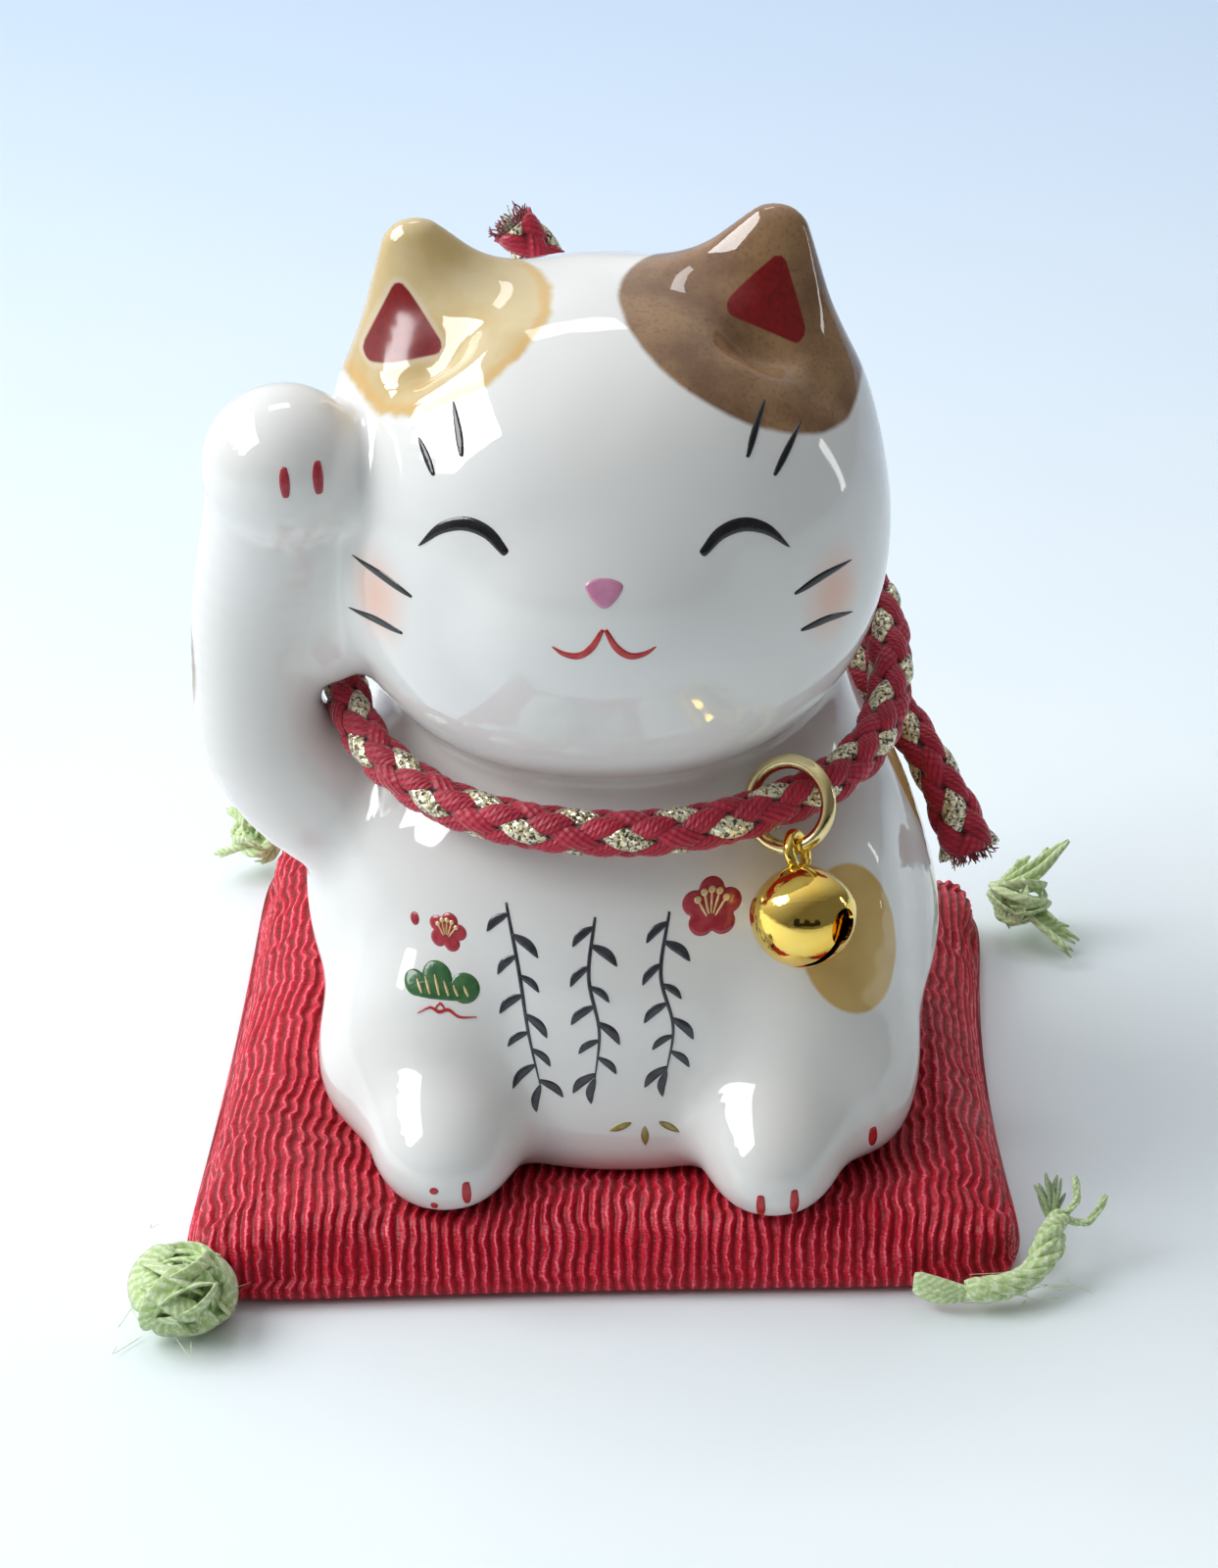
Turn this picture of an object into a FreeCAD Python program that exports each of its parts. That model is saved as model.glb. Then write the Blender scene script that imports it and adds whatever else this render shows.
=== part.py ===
"""Beckoning cat figurine: a hollow porcelain cat on a stuffed cushion, with a braided collar and a bell.

Millimetres. +Z is up, the cat faces -Y, and the origin is on the cushion's flat underside, under the cat.
Each node is written to parts/NODE.step.
"""

import FreeCAD, Part
import math
import os

V = FreeCAD.Vector

# Driving dimensions

BASE_Z = 7.6            # flat base of the cat
SEAT_Z = 7.5            # flat top of the cushion under it
WALL = 3.2              # porcelain wall
VENT_R = 3.5            # vent hole in the base
SECTION_POINTS = 20     # points round each body section
LIMB_POINTS = 12        # points round each limb section
ROOM = 120.0            # side of the boxes that cut the cat's flat base and its floor

# Torso sections: z, left x, right x, front y, back y
TORSO = [
    (6.4, -17.5, 20.0, -25.0, 17.0),
    (9.0, -22.0, 25.3, -28.3, 22.0),
    (12.0, -25.8, 29.2, -30.0, 24.8),
    (18.0, -30.0, 33.2, -30.6, 27.0),
    (25.0, -31.3, 33.6, -29.3, 27.3),
    (32.0, -30.0, 31.6, -26.6, 25.5),
    (38.0, -27.7, 29.0, -23.8, 23.0),
    (43.0, -24.0, 26.4, -20.3, 20.6),
    (48.0, -21.2, 24.2, -17.6, 18.4),
    (54.0, -18.5, 21.5, -15.0, 15.5),
]
TORSO_SQUARENESS = 2.2

HEAD_CENTRE = V(0.2, -5.0, 66.8)
HEAD_HALF = V(27.2, 24.8, 25.0)
HEAD_SQUARENESS = 2.12
HEAD_SECTIONS = 13
POLE_GAP = 8.0          # degrees from each pole to the first section

# Ear sections: z, inner x, outer x, half thickness
EAR_RIGHT = [
    (74.0, 0.5, 24.3, 8.4),
    (84.0, 3.0, 24.0, 6.8),
    (90.0, 6.4, 22.4, 5.0),
    (95.0, 10.8, 19.9, 3.3),
    (97.9, 13.8, 17.4, 1.4),
]
EAR_LEFT = [
    (74.0, -2.0, -25.3, 8.4),
    (83.0, -4.2, -25.2, 6.8),
    (88.5, -7.4, -24.2, 5.0),
    (93.5, -12.2, -22.0, 3.3),
    (96.4, -15.8, -19.4, 1.4),
]
EAR_Y = -3.6
EAR_SQUARENESS = 2.0

# Raised arm: centre and radius of each section, from the shoulder up to the wrist
ARM = [
    (V(-22.0, -6.5, 33.5), 6.4),
    (V(-28.6, -7.0, 38.0), 7.3),
    (V(-33.4, -7.8, 44.5), 6.7),
    (V(-34.1, -8.8, 52.0), 6.0),
    (V(-33.2, -10.0, 60.0), 6.2),
    (V(-31.4, -11.6, 68.0), 6.7),
    (V(-29.9, -12.8, 74.5), 7.2),
]
PAW_CENTRE = V(-29.6, -13.0, 76.0)
PAW_RADIUS = 7.7
# Web of clay that joins the arm to the cheek, above the tunnel for the collar
WEB = (V(-27.0, -9.0, 66.0), V(5.4, 5.6, 10.5))

# Feet and haunches: centre and half sizes
FEET = [
    (V(-15.4, -27.4, 12.4), V(7.8, 7.4, 5.4)),
    (V(16.4, -28.3, 12.4), V(7.8, 7.4, 5.4)),
    (V(-21.4, -19.0, 13.0), V(5.6, 9.5, 6.0)),
    (V(24.6, -20.0, 13.0), V(5.8, 9.5, 6.6)),
]
# Tail lying against the back of the body
TAIL = [
    (V(2.0, 24.0, 22.0), 4.6),
    (V(8.5, 26.6, 19.0), 4.4),
    (V(15.5, 25.2, 15.5), 4.0),
    (V(21.0, 21.8, 14.0), 3.2),
]

# Braided cord collar
CORD_D = 4.5
ARC_SHARE = 0.45        # share of the shorter run that an arc may take
KNOT_CENTRE = V(8.0, 24.6, 55.4)
KNOT_HALF = V(6.0, 4.6, 5.2)
LOOP_ROUTE = [
    V(10.0, 23.6, 55.6), V(18.8, 19.6, 56.0), V(25.0, 12.0, 55.4), V(28.2, 2.0, 52.4),
    V(28.2, -7.6, 48.0), V(24.2, -16.4, 45.4), V(15.6, -22.9, 44.2), V(5.4, -26.0, 43.3),
    V(-5.8, -25.4, 43.5), V(-15.6, -21.6, 44.3), V(-22.9, -14.2, 46.4), V(-26.0, -4.8, 49.2),
    V(-25.4, 5.4, 52.0), V(-20.6, 14.4, 54.2), V(-12.4, 20.8, 55.3), V(-2.0, 24.0, 55.5),
    V(6.0, 24.4, 55.4),
]
UPPER_TAIL_ROUTE = [
    V(6.8, 24.8, 57.5), V(5.2, 25.6, 63.5), V(2.0, 27.0, 70.5), V(-3.2, 27.8, 77.4),
    V(-9.4, 28.2, 84.4),
]
SIDE_TAIL_ROUTE = [
    V(9.0, 25.6, 53.2), V(14.2, 25.0, 48.4), V(20.8, 20.6, 44.6), V(27.0, 14.0, 41.2),
    V(32.0, 7.8, 36.4), V(35.4, 3.8, 31.2), V(37.4, 1.4, 26.4),
]

# Split ring through which the collar runs
RING_SPOT = V(17.4, -21.42, 44.45)   # on the collar's centreline
RING_RUN = (5, 6)       # the two route points on each side of it
RING_HANG = 0.35        # how far the ring's centre hangs off the collar's centreline
RING_MAJOR = 4.15
RING_WIRE_R = 0.72
RING_TURN = 58.0        # heading of the ring's normal, degrees from +X
RING_LEAN = 25.0        # how far its lower edge leans out
BELL_PLACE = 26.0       # where the bell hangs, degrees from the ring's lowest point

# Bell: two spun brass shells, a wire eye and a loose pellet
BELL_R = 5.1
BELL_H = 4.95           # from the equator to each pole
BELL_WALL = 0.4
BELL_LEAN = 38.0        # how far the hanging bell leans out over the belly
EYE_MAJOR = 1.75
EYE_WIRE_R = 0.55
EYE_RISE = 6.1          # from the bell's centre to the eye's centre
SLOT_WIDTH = 0.9
SLOT_HOLE_R = 1.6       # round ends of the slot
SLOT_HOLE_DROP = 2.1    # how far their centres lie below the equator
SLOT_TURN = -36.0       # heading of the slot, degrees
PELLET_R = 1.9          # larger than the slot's round ends, so that it stays in
PELLET_CLEAR = 0.25     # gap under the resting pellet
EYE_CLEAR = 0.05        # gap between the eye's wire and the ring's
# Bell outlines, as shares of its radius and of its height, from the equator to the pole
BELL_SHOULDERS = [(1.0, 0.0), (0.94, 0.3), (0.72, 0.61), (0.36, 0.88), (0.0, 1.0)]
BELL_BOWL = [(1.0, 0.0), (0.93, 0.36), (0.72, 0.72), (0.38, 0.95), (0.0, 1.0)]

# Cushion corners: front left, front right, back right, back left
CUSHION_CORNERS = [V(-41.6, -42.6), V(41.6, -39.4), V(42.6, 33.0), V(-38.4, 44.5)]
# Cushion sections: z and share of full size, evenly spaced so that the loft stays above its flat underside
CUSHION_SECTIONS = [(0.0, 0.92), (1.0, 0.97), (2.2, 0.995), (3.8, 1.0), (6.0, 0.965), (SEAT_Z, 0.87)]
CUSHION_SQUARENESS = 12.0
CUSHION_POINTS = 36     # points round each section
CUSHION_REACH = 40.0    # from the middle to a side, roughly
COVER_THICKNESS = 0.7
FILLING_GAP = 0.1

# Yarn tassels that are blobs: centre, half sizes
TASSEL_FRONT_LEFT = (V(-39.6, -44.6, 4.4), V(4.8, 4.4, 4.0))
TASSEL_BACK_RIGHT = (V(44.8, 29.6, 4.6), V(4.6, 5.4, 3.4))
TASSEL_BACK_LEFT = (V(-39.0, 43.4, 4.6), V(3.6, 3.8, 3.2))
# The yarn that lies as a strand along the front edge: centre and radius of each section
TASSEL_FRONT_RIGHT = [
    (V(30.0, -41.6, 2.6), 1.2),
    (V(35.0, -41.2, 2.7), 1.7),
    (V(39.8, -39.8, 3.0), 2.1),
    (V(42.9, -36.8, 4.2), 1.9),
    (V(45.0, -34.2, 6.4), 1.3),
]


# Geometry helpers

def unit(v):
    return V(v).multiply(1.0 / v.Length)


def closed_spline(points):
    """A smooth closed wire through the points."""
    curve = Part.BSplineCurve()
    curve.interpolate(points, PeriodicFlag=True)
    return Part.Wire([curve.toShape()])


def loft(wires):
    return Part.makeLoft(wires, True, False)


def one_solid(shape):
    """The shape as a single solid."""
    solids = shape.Solids
    if len(solids) != 1:
        raise ValueError("expected one solid, found %d" % len(solids))
    return solids[0]


def rounded_power(t, squareness):
    """Unit superellipse point at angle t."""
    c, s = math.cos(t), math.sin(t)
    power = 2.0 / squareness
    return math.copysign(abs(c) ** power, c), math.copysign(abs(s) ** power, s)


def oval(z, x0, x1, y0, y1, squareness):
    """A closed section at height z that reaches from x0 to x1 and from y0 to y1."""
    points = []
    for i in range(SECTION_POINTS):
        u, v = rounded_power(2 * math.pi * (i + 0.5) / SECTION_POINTS, squareness)
        points.append(V((x0 + x1) / 2 + u * abs(x1 - x0) / 2, (y0 + y1) / 2 + v * abs(y1 - y0) / 2, z))
    return closed_spline(points)


def ellipsoid(centre, half):
    scale = FreeCAD.Matrix()
    scale.scale(half.x, half.y, half.z)
    shape = Part.makeSphere(1.0).transformGeometry(scale)
    shape.translate(centre)
    return shape


def limb(sections):
    """A lofted limb through round sections, each square to the line through its neighbours."""
    wires = []
    last = len(sections) - 1
    for i, (centre, radius) in enumerate(sections):
        along = unit(sections[min(i + 1, last)][0].sub(sections[max(i - 1, 0)][0]))
        side = unit(V(0, 1, 0).sub(V(along).multiply(along.y)))
        across = along.cross(side)
        points = []
        for k in range(LIMB_POINTS):
            t = 2 * math.pi * k / LIMB_POINTS
            out = V(side).multiply(math.cos(t)) + V(across).multiply(math.sin(t))
            points.append(centre + out.multiply(radius))
        wires.append(closed_spline(points))
    return loft(wires)


def tube(name, route, diameter):
    """A round tube along straight runs joined by tangent arcs, with its bend radii printed."""
    edges = []
    radii = []
    start = route[0]
    length = 0.0
    for before, corner, after in zip(route, route[1:], route[2:]):
        to_before, to_after = before.sub(corner), after.sub(corner)
        half_turn = (math.pi - to_before.getAngle(to_after)) / 2
        reach = ARC_SHARE * min(to_before.Length, to_after.Length)
        radius = reach / math.tan(half_turn)
        first = corner + unit(to_before).multiply(reach)
        second = corner + unit(to_after).multiply(reach)
        inward = unit(unit(to_before) + unit(to_after))
        middle = corner + inward.multiply(radius / math.cos(half_turn) - radius)
        edges += [Part.LineSegment(start, first).toShape(), Part.Arc(first, middle, second).toShape()]
        length += first.sub(start).Length + radius * 2 * half_turn
        radii.append(radius)
        start = second
    edges.append(Part.LineSegment(start, route[-1]).toShape())
    length += route[-1].sub(start).Length
    section = Part.Wire([Part.Circle(route[0], route[1].sub(route[0]), diameter / 2).toShape()])
    solid = Part.Wire(edges).makePipeShell([section], True, False)
    ideal = math.pi * diameter ** 2 / 4 * length
    print("%s: length %.1f, radii %s, volume / (section x length) %.4f"
          % (name, length, " ".join("%.1f" % r for r in radii), solid.Volume / ideal))
    return one_solid(solid)


# The porcelain cat

def torso(inset):
    wires = []
    for z, x0, x1, y0, y1 in TORSO:
        wires.append(oval(z, x0 + inset, x1 - inset, y0 + inset, y1 - inset, TORSO_SQUARENESS))
    return loft(wires)


def head(inset):
    """The head as stacked sections, closer together towards the crown and the chin."""
    c = HEAD_CENTRE
    half = HEAD_HALF - V(inset, inset, inset)
    sweep = 180 - 2 * POLE_GAP
    wires = []
    for i in range(HEAD_SECTIONS):
        height = -math.cos(math.radians(POLE_GAP + sweep * i / (HEAD_SECTIONS - 1)))
        width = (1 - abs(height) ** HEAD_SQUARENESS) ** (1 / HEAD_SQUARENESS)
        wires.append(oval(c.z + height * half.z, c.x - width * half.x, c.x + width * half.x,
                          c.y - width * half.y, c.y + width * half.y, HEAD_SQUARENESS))
    return loft(wires)


def ear(sections):
    wires = []
    for z, x0, x1, thick in sections:
        wires.append(oval(z, x0, x1, EAR_Y - thick, EAR_Y + thick, EAR_SQUARENESS))
    return loft(wires)


def cat_body():
    paw = Part.makeSphere(PAW_RADIUS, PAW_CENTRE)
    pieces = [head(0), ear(EAR_LEFT), ear(EAR_RIGHT), limb(ARM), paw, ellipsoid(*WEB), limb(TAIL)]
    pieces += [ellipsoid(centre, half) for centre, half in FEET]
    outside = torso(0)
    for piece in pieces:
        outside = outside.fuse(piece)
    inside = torso(WALL).fuse(head(WALL))
    room = Part.makeBox(ROOM, ROOM, ROOM, V(-ROOM / 2, -ROOM / 2, BASE_Z))
    hollow_room = Part.makeBox(ROOM, ROOM, ROOM, V(-ROOM / 2, -ROOM / 2, BASE_Z + WALL))
    vent = Part.makeCylinder(VENT_R, 3 * WALL, V(0, 0, BASE_Z - WALL))
    return one_solid(outside.common(room).cut(inside.common(hollow_room)).cut(vent))


# The collar

def collar():
    knot = ellipsoid(KNOT_CENTRE, KNOT_HALF)
    return {
        "collar_loop": one_solid(tube("collar_loop", LOOP_ROUTE, CORD_D).cut(knot)),
        "collar_knot": one_solid(knot),
        "collar_tail_upper": one_solid(tube("collar_tail_upper", UPPER_TAIL_ROUTE, CORD_D).cut(knot)),
        "collar_tail_side": one_solid(tube("collar_tail_side", SIDE_TAIL_ROUTE, CORD_D).cut(knot)),
    }


# The ring and the bell

def ring_frame():
    """The ring's centre, its normal, its level direction and its upward direction."""
    turn, lean = math.radians(RING_TURN), math.radians(RING_LEAN)
    flat_normal = V(math.cos(turn), math.sin(turn), 0)
    level = V(math.sin(turn), -math.cos(turn), 0)
    up = V(0, 0, math.cos(lean)) + V(flat_normal).multiply(math.sin(lean))
    normal = level.cross(up)
    # the ring is shifted square to the collar, so that both of its sides clear the cord alike
    down = unit(collar_heading().cross(normal))
    down.multiply(-math.copysign(RING_HANG, down.z))
    return RING_SPOT + down, normal, level, up


def collar_heading():
    """Direction of the collar where the ring is."""
    return unit(LOOP_ROUTE[RING_RUN[0]].sub(LOOP_ROUTE[RING_RUN[1]]))


def bell_frame():
    """Where the bell's eye holds the ring, the wire's direction there, the bell's axis and its centre."""
    ring_centre, _, level, up = ring_frame()
    place = math.radians(BELL_PLACE)
    out = V(level).multiply(math.sin(place)) - V(up).multiply(math.cos(place))
    hold = ring_centre + out.multiply(RING_MAJOR)
    along = V(level).multiply(math.cos(place)) + V(up).multiply(math.sin(place))
    down = V(0, 0, -1).sub(V(along).multiply(-along.z))
    axis = FreeCAD.Rotation(along, -BELL_LEAN).multVec(unit(down))
    eye = hold + V(axis).multiply(EYE_MAJOR - EYE_WIRE_R - RING_WIRE_R - EYE_CLEAR)
    return hold, along, axis, eye + V(axis).multiply(EYE_RISE), eye


def bell_profile(inset, top):
    """Half outline of the bell as a face in the XZ plane, from the equator to one pole."""
    r = BELL_R - inset
    h = (BELL_H - inset) * (1 if top else -1)
    outline = BELL_SHOULDERS if top else BELL_BOWL
    side = Part.BSplineCurve()
    side.interpolate([V(r * out, 0, h * rise) for out, rise in outline])
    axis = Part.LineSegment(V(0, 0, h), V(0, 0, 0))
    equator = Part.LineSegment(V(0, 0, 0), V(r, 0, 0))
    return Part.Face(Part.Wire([side.toShape(), axis.toShape(), equator.toShape()]))


def bell_half(inset, top):
    return bell_profile(inset, top).revolve(V(0, 0, 0), V(0, 0, 1), 360)


def bell():
    _, along, axis, centre, eye = bell_frame()
    heading = math.radians(SLOT_TURN)
    slot_dir = V(math.cos(heading), math.sin(heading), 0)
    upper = bell_half(0, True).cut(bell_half(BELL_WALL, True))
    lower = bell_half(0, False).cut(bell_half(BELL_WALL, False))
    slot_corner = V(-2 * BELL_R, -SLOT_WIDTH / 2, -BELL_H - SLOT_HOLE_DROP)
    slot = Part.makeBox(4 * BELL_R, SLOT_WIDTH, BELL_H, slot_corner)
    slot.rotate(V(0, 0, 0), V(0, 0, 1), SLOT_TURN)
    hole_start = V(slot_dir).multiply(-2 * BELL_R) - V(0, 0, SLOT_HOLE_DROP)
    holes = Part.makeCylinder(SLOT_HOLE_R, 4 * BELL_R, hole_start, slot_dir)
    lower = lower.cut(slot).cut(holes)
    # the eye stands in the plane square to the ring's wire
    turn = FreeCAD.Rotation(V(0, 0, 1), V(axis).multiply(-1))
    place = FreeCAD.Placement(centre, turn)
    shapes = {"bell_upper_shell": upper, "bell_lower_shell": lower}
    for shape in shapes.values():
        shape.Placement = place
    wire_eye = Part.makeTorus(EYE_MAJOR, EYE_WIRE_R, eye, along)
    stem = Part.makeCylinder(EYE_WIRE_R, EYE_RISE - EYE_MAJOR, centre, V(axis).multiply(-1))
    solid_top = bell_half(0, True)
    solid_top.Placement = place
    shapes["bell_loop"] = wire_eye.fuse(stem).cut(solid_top)
    # the pellet rests on the lowest point inside
    rest = centre - V(0, 0, BELL_H - BELL_WALL - PELLET_R - PELLET_CLEAR)
    shapes["bell_pellet"] = Part.makeSphere(PELLET_R, rest)
    return {name: one_solid(shape) for name, shape in shapes.items()}


def bell_ring():
    centre, normal, _, _ = ring_frame()
    return one_solid(Part.makeTorus(RING_MAJOR, RING_WIRE_R, centre, normal))


# The cushion and its tassels

def cushion_section(z, share, inset):
    """A rounded four-cornered section; the corners are where the full-size cushion has them."""
    fl, fr, br, bl = CUSHION_CORNERS
    shrink = 1 - inset / CUSHION_REACH
    points = []
    for i in range(CUSHION_POINTS):
        u, v = rounded_power(2 * math.pi * (i + 0.5) / CUSHION_POINTS, CUSHION_SQUARENESS)
        u, v = u * share, v * share
        front = V(fl).multiply((1 - u) / 2) + V(fr).multiply((1 + u) / 2)
        back = V(bl).multiply((1 - u) / 2) + V(br).multiply((1 + u) / 2)
        at = V(front).multiply((1 - v) / 2) + V(back).multiply((1 + v) / 2)
        points.append(V(at.x * shrink, at.y * shrink, z))
    return closed_spline(points)


def cushion_solid(inset):
    half_height = SEAT_Z / 2
    flatten = (half_height - inset) / half_height
    wires = []
    for z, share in CUSHION_SECTIONS:
        wires.append(cushion_section(half_height + (z - half_height) * flatten, share, inset))
    return loft(wires)


def cushion_and_tassels():
    outside = cushion_solid(0)
    shapes = {
        "cushion_cover": outside.cut(cushion_solid(COVER_THICKNESS)),
        "cushion_filling": cushion_solid(COVER_THICKNESS + FILLING_GAP),
        "tassel_front_left": ellipsoid(*TASSEL_FRONT_LEFT).cut(outside),
        "tassel_front_right": limb(TASSEL_FRONT_RIGHT).cut(outside),
        "tassel_back_left": ellipsoid(*TASSEL_BACK_LEFT).cut(outside),
        "tassel_back_right": ellipsoid(*TASSEL_BACK_RIGHT).cut(outside),
    }
    return {name: one_solid(shape) for name, shape in shapes.items()}


def main():
    os.makedirs("parts", exist_ok=True)
    nodes = {"cat_body": cat_body(), "bell_ring": bell_ring()}
    nodes.update(collar())
    nodes.update(bell())
    nodes.update(cushion_and_tassels())
    for name, shape in sorted(nodes.items()):
        if not shape.isValid():
            raise ValueError(name + " is not a valid solid")
        shape.exportStep("parts/%s.step" % name)
        print("%-20s volume %9.1f mm3" % (name, shape.Volume))
    hold, along, axis, centre, _ = bell_frame()
    print("ring hinge at", RING_SPOT, "along", collar_heading())
    print("bell hinge at", hold, "along", along, "bell axis", axis, "bell centre", centre)


main()
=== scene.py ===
"""Looks of a beckoning cat figurine: glazed cat, braided collar, bell, ribbed cushion and yarn tassels."""

import math

import bpy
import numpy as np
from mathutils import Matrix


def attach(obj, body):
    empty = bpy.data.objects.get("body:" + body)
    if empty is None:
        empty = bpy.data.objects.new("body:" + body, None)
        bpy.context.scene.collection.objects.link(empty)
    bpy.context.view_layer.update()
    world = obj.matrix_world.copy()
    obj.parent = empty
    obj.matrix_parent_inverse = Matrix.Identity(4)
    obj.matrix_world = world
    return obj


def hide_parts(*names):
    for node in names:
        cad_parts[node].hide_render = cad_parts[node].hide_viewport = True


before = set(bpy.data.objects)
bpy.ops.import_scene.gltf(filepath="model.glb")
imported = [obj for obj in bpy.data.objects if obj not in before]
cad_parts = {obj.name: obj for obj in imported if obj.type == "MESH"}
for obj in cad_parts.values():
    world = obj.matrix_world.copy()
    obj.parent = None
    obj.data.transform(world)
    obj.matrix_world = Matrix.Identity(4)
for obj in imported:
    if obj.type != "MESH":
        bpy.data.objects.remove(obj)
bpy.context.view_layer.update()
MM = 0.001
rng = np.random.default_rng(11)


# ---------------------------------------------------------------- camera

CAMERA_DISTANCE = 400.0
CAMERA_ELEVATION = math.radians(28.0)
TARGET = np.array([0.45, 0.0, 35.0])
LENS = 60.555


def make_camera():
    """The view from the front, looking down."""
    data = bpy.data.cameras.new("camera")
    data.sensor_fit = "VERTICAL"
    data.sensor_height = 24.0
    data.lens = LENS
    data.clip_start = 0.01
    data.dof.use_dof = False
    camera = bpy.data.objects.new("camera", data)
    bpy.context.scene.collection.objects.link(camera)
    back = np.array([0.0, -math.cos(CAMERA_ELEVATION), math.sin(CAMERA_ELEVATION)])
    camera.location = (TARGET + back * CAMERA_DISTANCE) * MM
    camera.rotation_euler = (math.pi / 2 - CAMERA_ELEVATION, 0.0, 0.0)
    bpy.context.scene.camera = camera


# ---------------------------------------------------------------- shared helpers

def mesh_object(name, verts, faces, material, body, smooth=True):
    """A mesh from points in millimetres, riding on a body."""
    mesh = bpy.data.meshes.new(name)
    mesh.from_pydata((np.asarray(verts, float) * MM).tolist(), [], [list(map(int, f)) for f in faces])
    mesh.validate()
    mesh.update()
    if smooth:
        mesh.polygons.foreach_set("use_smooth", [True] * len(mesh.polygons))
    obj = bpy.data.objects.new(name, mesh)
    bpy.context.scene.collection.objects.link(obj)
    mesh.materials.append(material)
    if body:
        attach(obj, body)
    return obj


def attribute(obj, name, values):
    """One number for every point of the mesh, for its material to read."""
    layer = obj.data.attributes.new(name, "FLOAT", "POINT")
    layer.data.foreach_set("value", np.asarray(values, np.float32))


def tube_faces(rings, around, closed_ends=True, start=0):
    """Quads between rings of points, with a fan-free cap at each end."""
    faces = []
    for i in range(rings - 1):
        for j in range(around):
            k = (j + 1) % around
            a, b = start + i * around, start + (i + 1) * around
            faces.append((a + j, a + k, b + k, b + j))
    if closed_ends:
        faces.append(tuple(start + j for j in reversed(range(around))))
        faces.append(tuple(start + (rings - 1) * around + j for j in range(around)))
    return faces


def unit(v):
    return v / (np.linalg.norm(v, axis=-1, keepdims=True) + 1e-12)


def smooth_line(points, count, closed=False):
    """A Catmull-Rom curve through the points."""
    p = np.asarray(points, float)
    n = len(p)
    if closed:
        p = np.concatenate([p[-1:], p, p[:2]])
        t = np.linspace(0, n, count, endpoint=False)
    else:
        p = np.concatenate([2 * p[:1] - p[1:2], p, 2 * p[-1:] - p[-2:-1]])
        t = np.linspace(0, n - 1, count)
    i = np.minimum(t.astype(int), (n if closed else n - 1) - 1)
    u = (t - i)[:, None]
    a, b, c, d = p[i], p[i + 1], p[i + 2], p[i + 3]
    bend = 2 * a - 5 * b + 4 * c - d
    return 0.5 * (2 * b + (c - a) * u + bend * u ** 2 + (3 * b - a - 3 * c + d) * u ** 3)


def frames_along(points):
    """Tangents and two side vectors that don't twist, for every point of a line."""
    tangent = unit(np.gradient(points, axis=0))
    side = np.cross(tangent[0], (0.0, 0.0, 1.0))
    if np.linalg.norm(side) < 0.1:
        side = np.cross(tangent[0], (0.0, 1.0, 0.0))
    sides = []
    for t in tangent:
        side = side - t * (side @ t)
        side = side / np.linalg.norm(side)
        sides.append(side)
    sides = np.array(sides)
    return tangent, sides, np.cross(tangent, sides)


# ---------------------------------------------------------------- materials

class Paint:
    """A node material built step by step."""

    def __init__(self, name, **settings):
        self.material = bpy.data.materials.new(name)
        self.material.use_nodes = True
        self.nodes = self.material.node_tree.nodes
        self.links = self.material.node_tree.links
        self.shader = self.nodes["Principled BSDF"]
        self.set(self.shader, settings)

    def set(self, node, settings):
        for key, value in settings.items():
            socket = node.inputs[key.replace("_", " ") if isinstance(key, str) else key]
            if isinstance(value, bpy.types.NodeSocket):
                self.links.new(value, socket)
            else:
                socket.default_value = value

    def add(self, kind, inputs=None, out=0, **props):
        node = self.nodes.new(kind)
        for key, value in props.items():
            setattr(node, key, value)
        for key, value in (inputs or {}).items():
            socket = node.inputs[key]
            if isinstance(value, bpy.types.NodeSocket):
                self.links.new(value, socket)
            else:
                socket.default_value = value
        return node.outputs[out]

    def place(self):
        return self.add("ShaderNodeTexCoord", out="Object")

    def stretched(self, scale, turn=(0, 0, 0)):
        return self.add("ShaderNodeMapping", {"Vector": self.place(), "Scale": scale, "Rotation": turn})

    def noise(self, scale, detail=2.0, rough=0.5, vector=None, distortion=0.0):
        inputs = {"Scale": scale, "Detail": detail, "Roughness": rough, "Distortion": distortion,
                  "Vector": vector or self.place()}
        return self.add("ShaderNodeTexNoise", inputs)

    def value(self, name):
        return self.add("ShaderNodeAttribute", out="Fac", attribute_name=name)

    def math(self, operation, a, b=0.0, clamp=False):
        return self.add("ShaderNodeMath", {0: a, 1: b}, operation=operation, use_clamp=clamp)

    def scaled(self, v, from_low, from_high, low=0.0, high=1.0, smooth=False):
        inputs = {"Value": v, "From Min": from_low, "From Max": from_high, "To Min": low, "To Max": high}
        kind = "SMOOTHSTEP" if smooth else "LINEAR"
        return self.add("ShaderNodeMapRange", inputs, interpolation_type=kind)

    def mix(self, factor, a, b, how="MIX"):
        node = self.nodes.new("ShaderNodeMix")
        node.data_type = "RGBA"
        node.blend_type = how
        for index, value in ((0, factor), (6, a), (7, b)):
            if isinstance(value, bpy.types.NodeSocket):
                self.links.new(value, node.inputs[index])
            else:
                node.inputs[index].default_value = value
        return node.outputs[2]

    def color(self, socket):
        self.links.new(socket, self.shader.inputs["Base Color"])

    def bump(self, height, distance, strength=1.0):
        out = self.add("ShaderNodeBump", {"Height": height, "Distance": distance * MM, "Strength": strength})
        self.links.new(out, self.shader.inputs["Normal"])


def rgb(r, g, b):
    """A screen colour, 0 to 255, as a linear one."""
    def linear(c):
        c = c / 255.0
        return c / 12.92 if c <= 0.04045 else ((c + 0.055) / 1.055) ** 2.4
    return (linear(r), linear(g), linear(b), 1.0)


PER_MM = 1000.0


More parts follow.
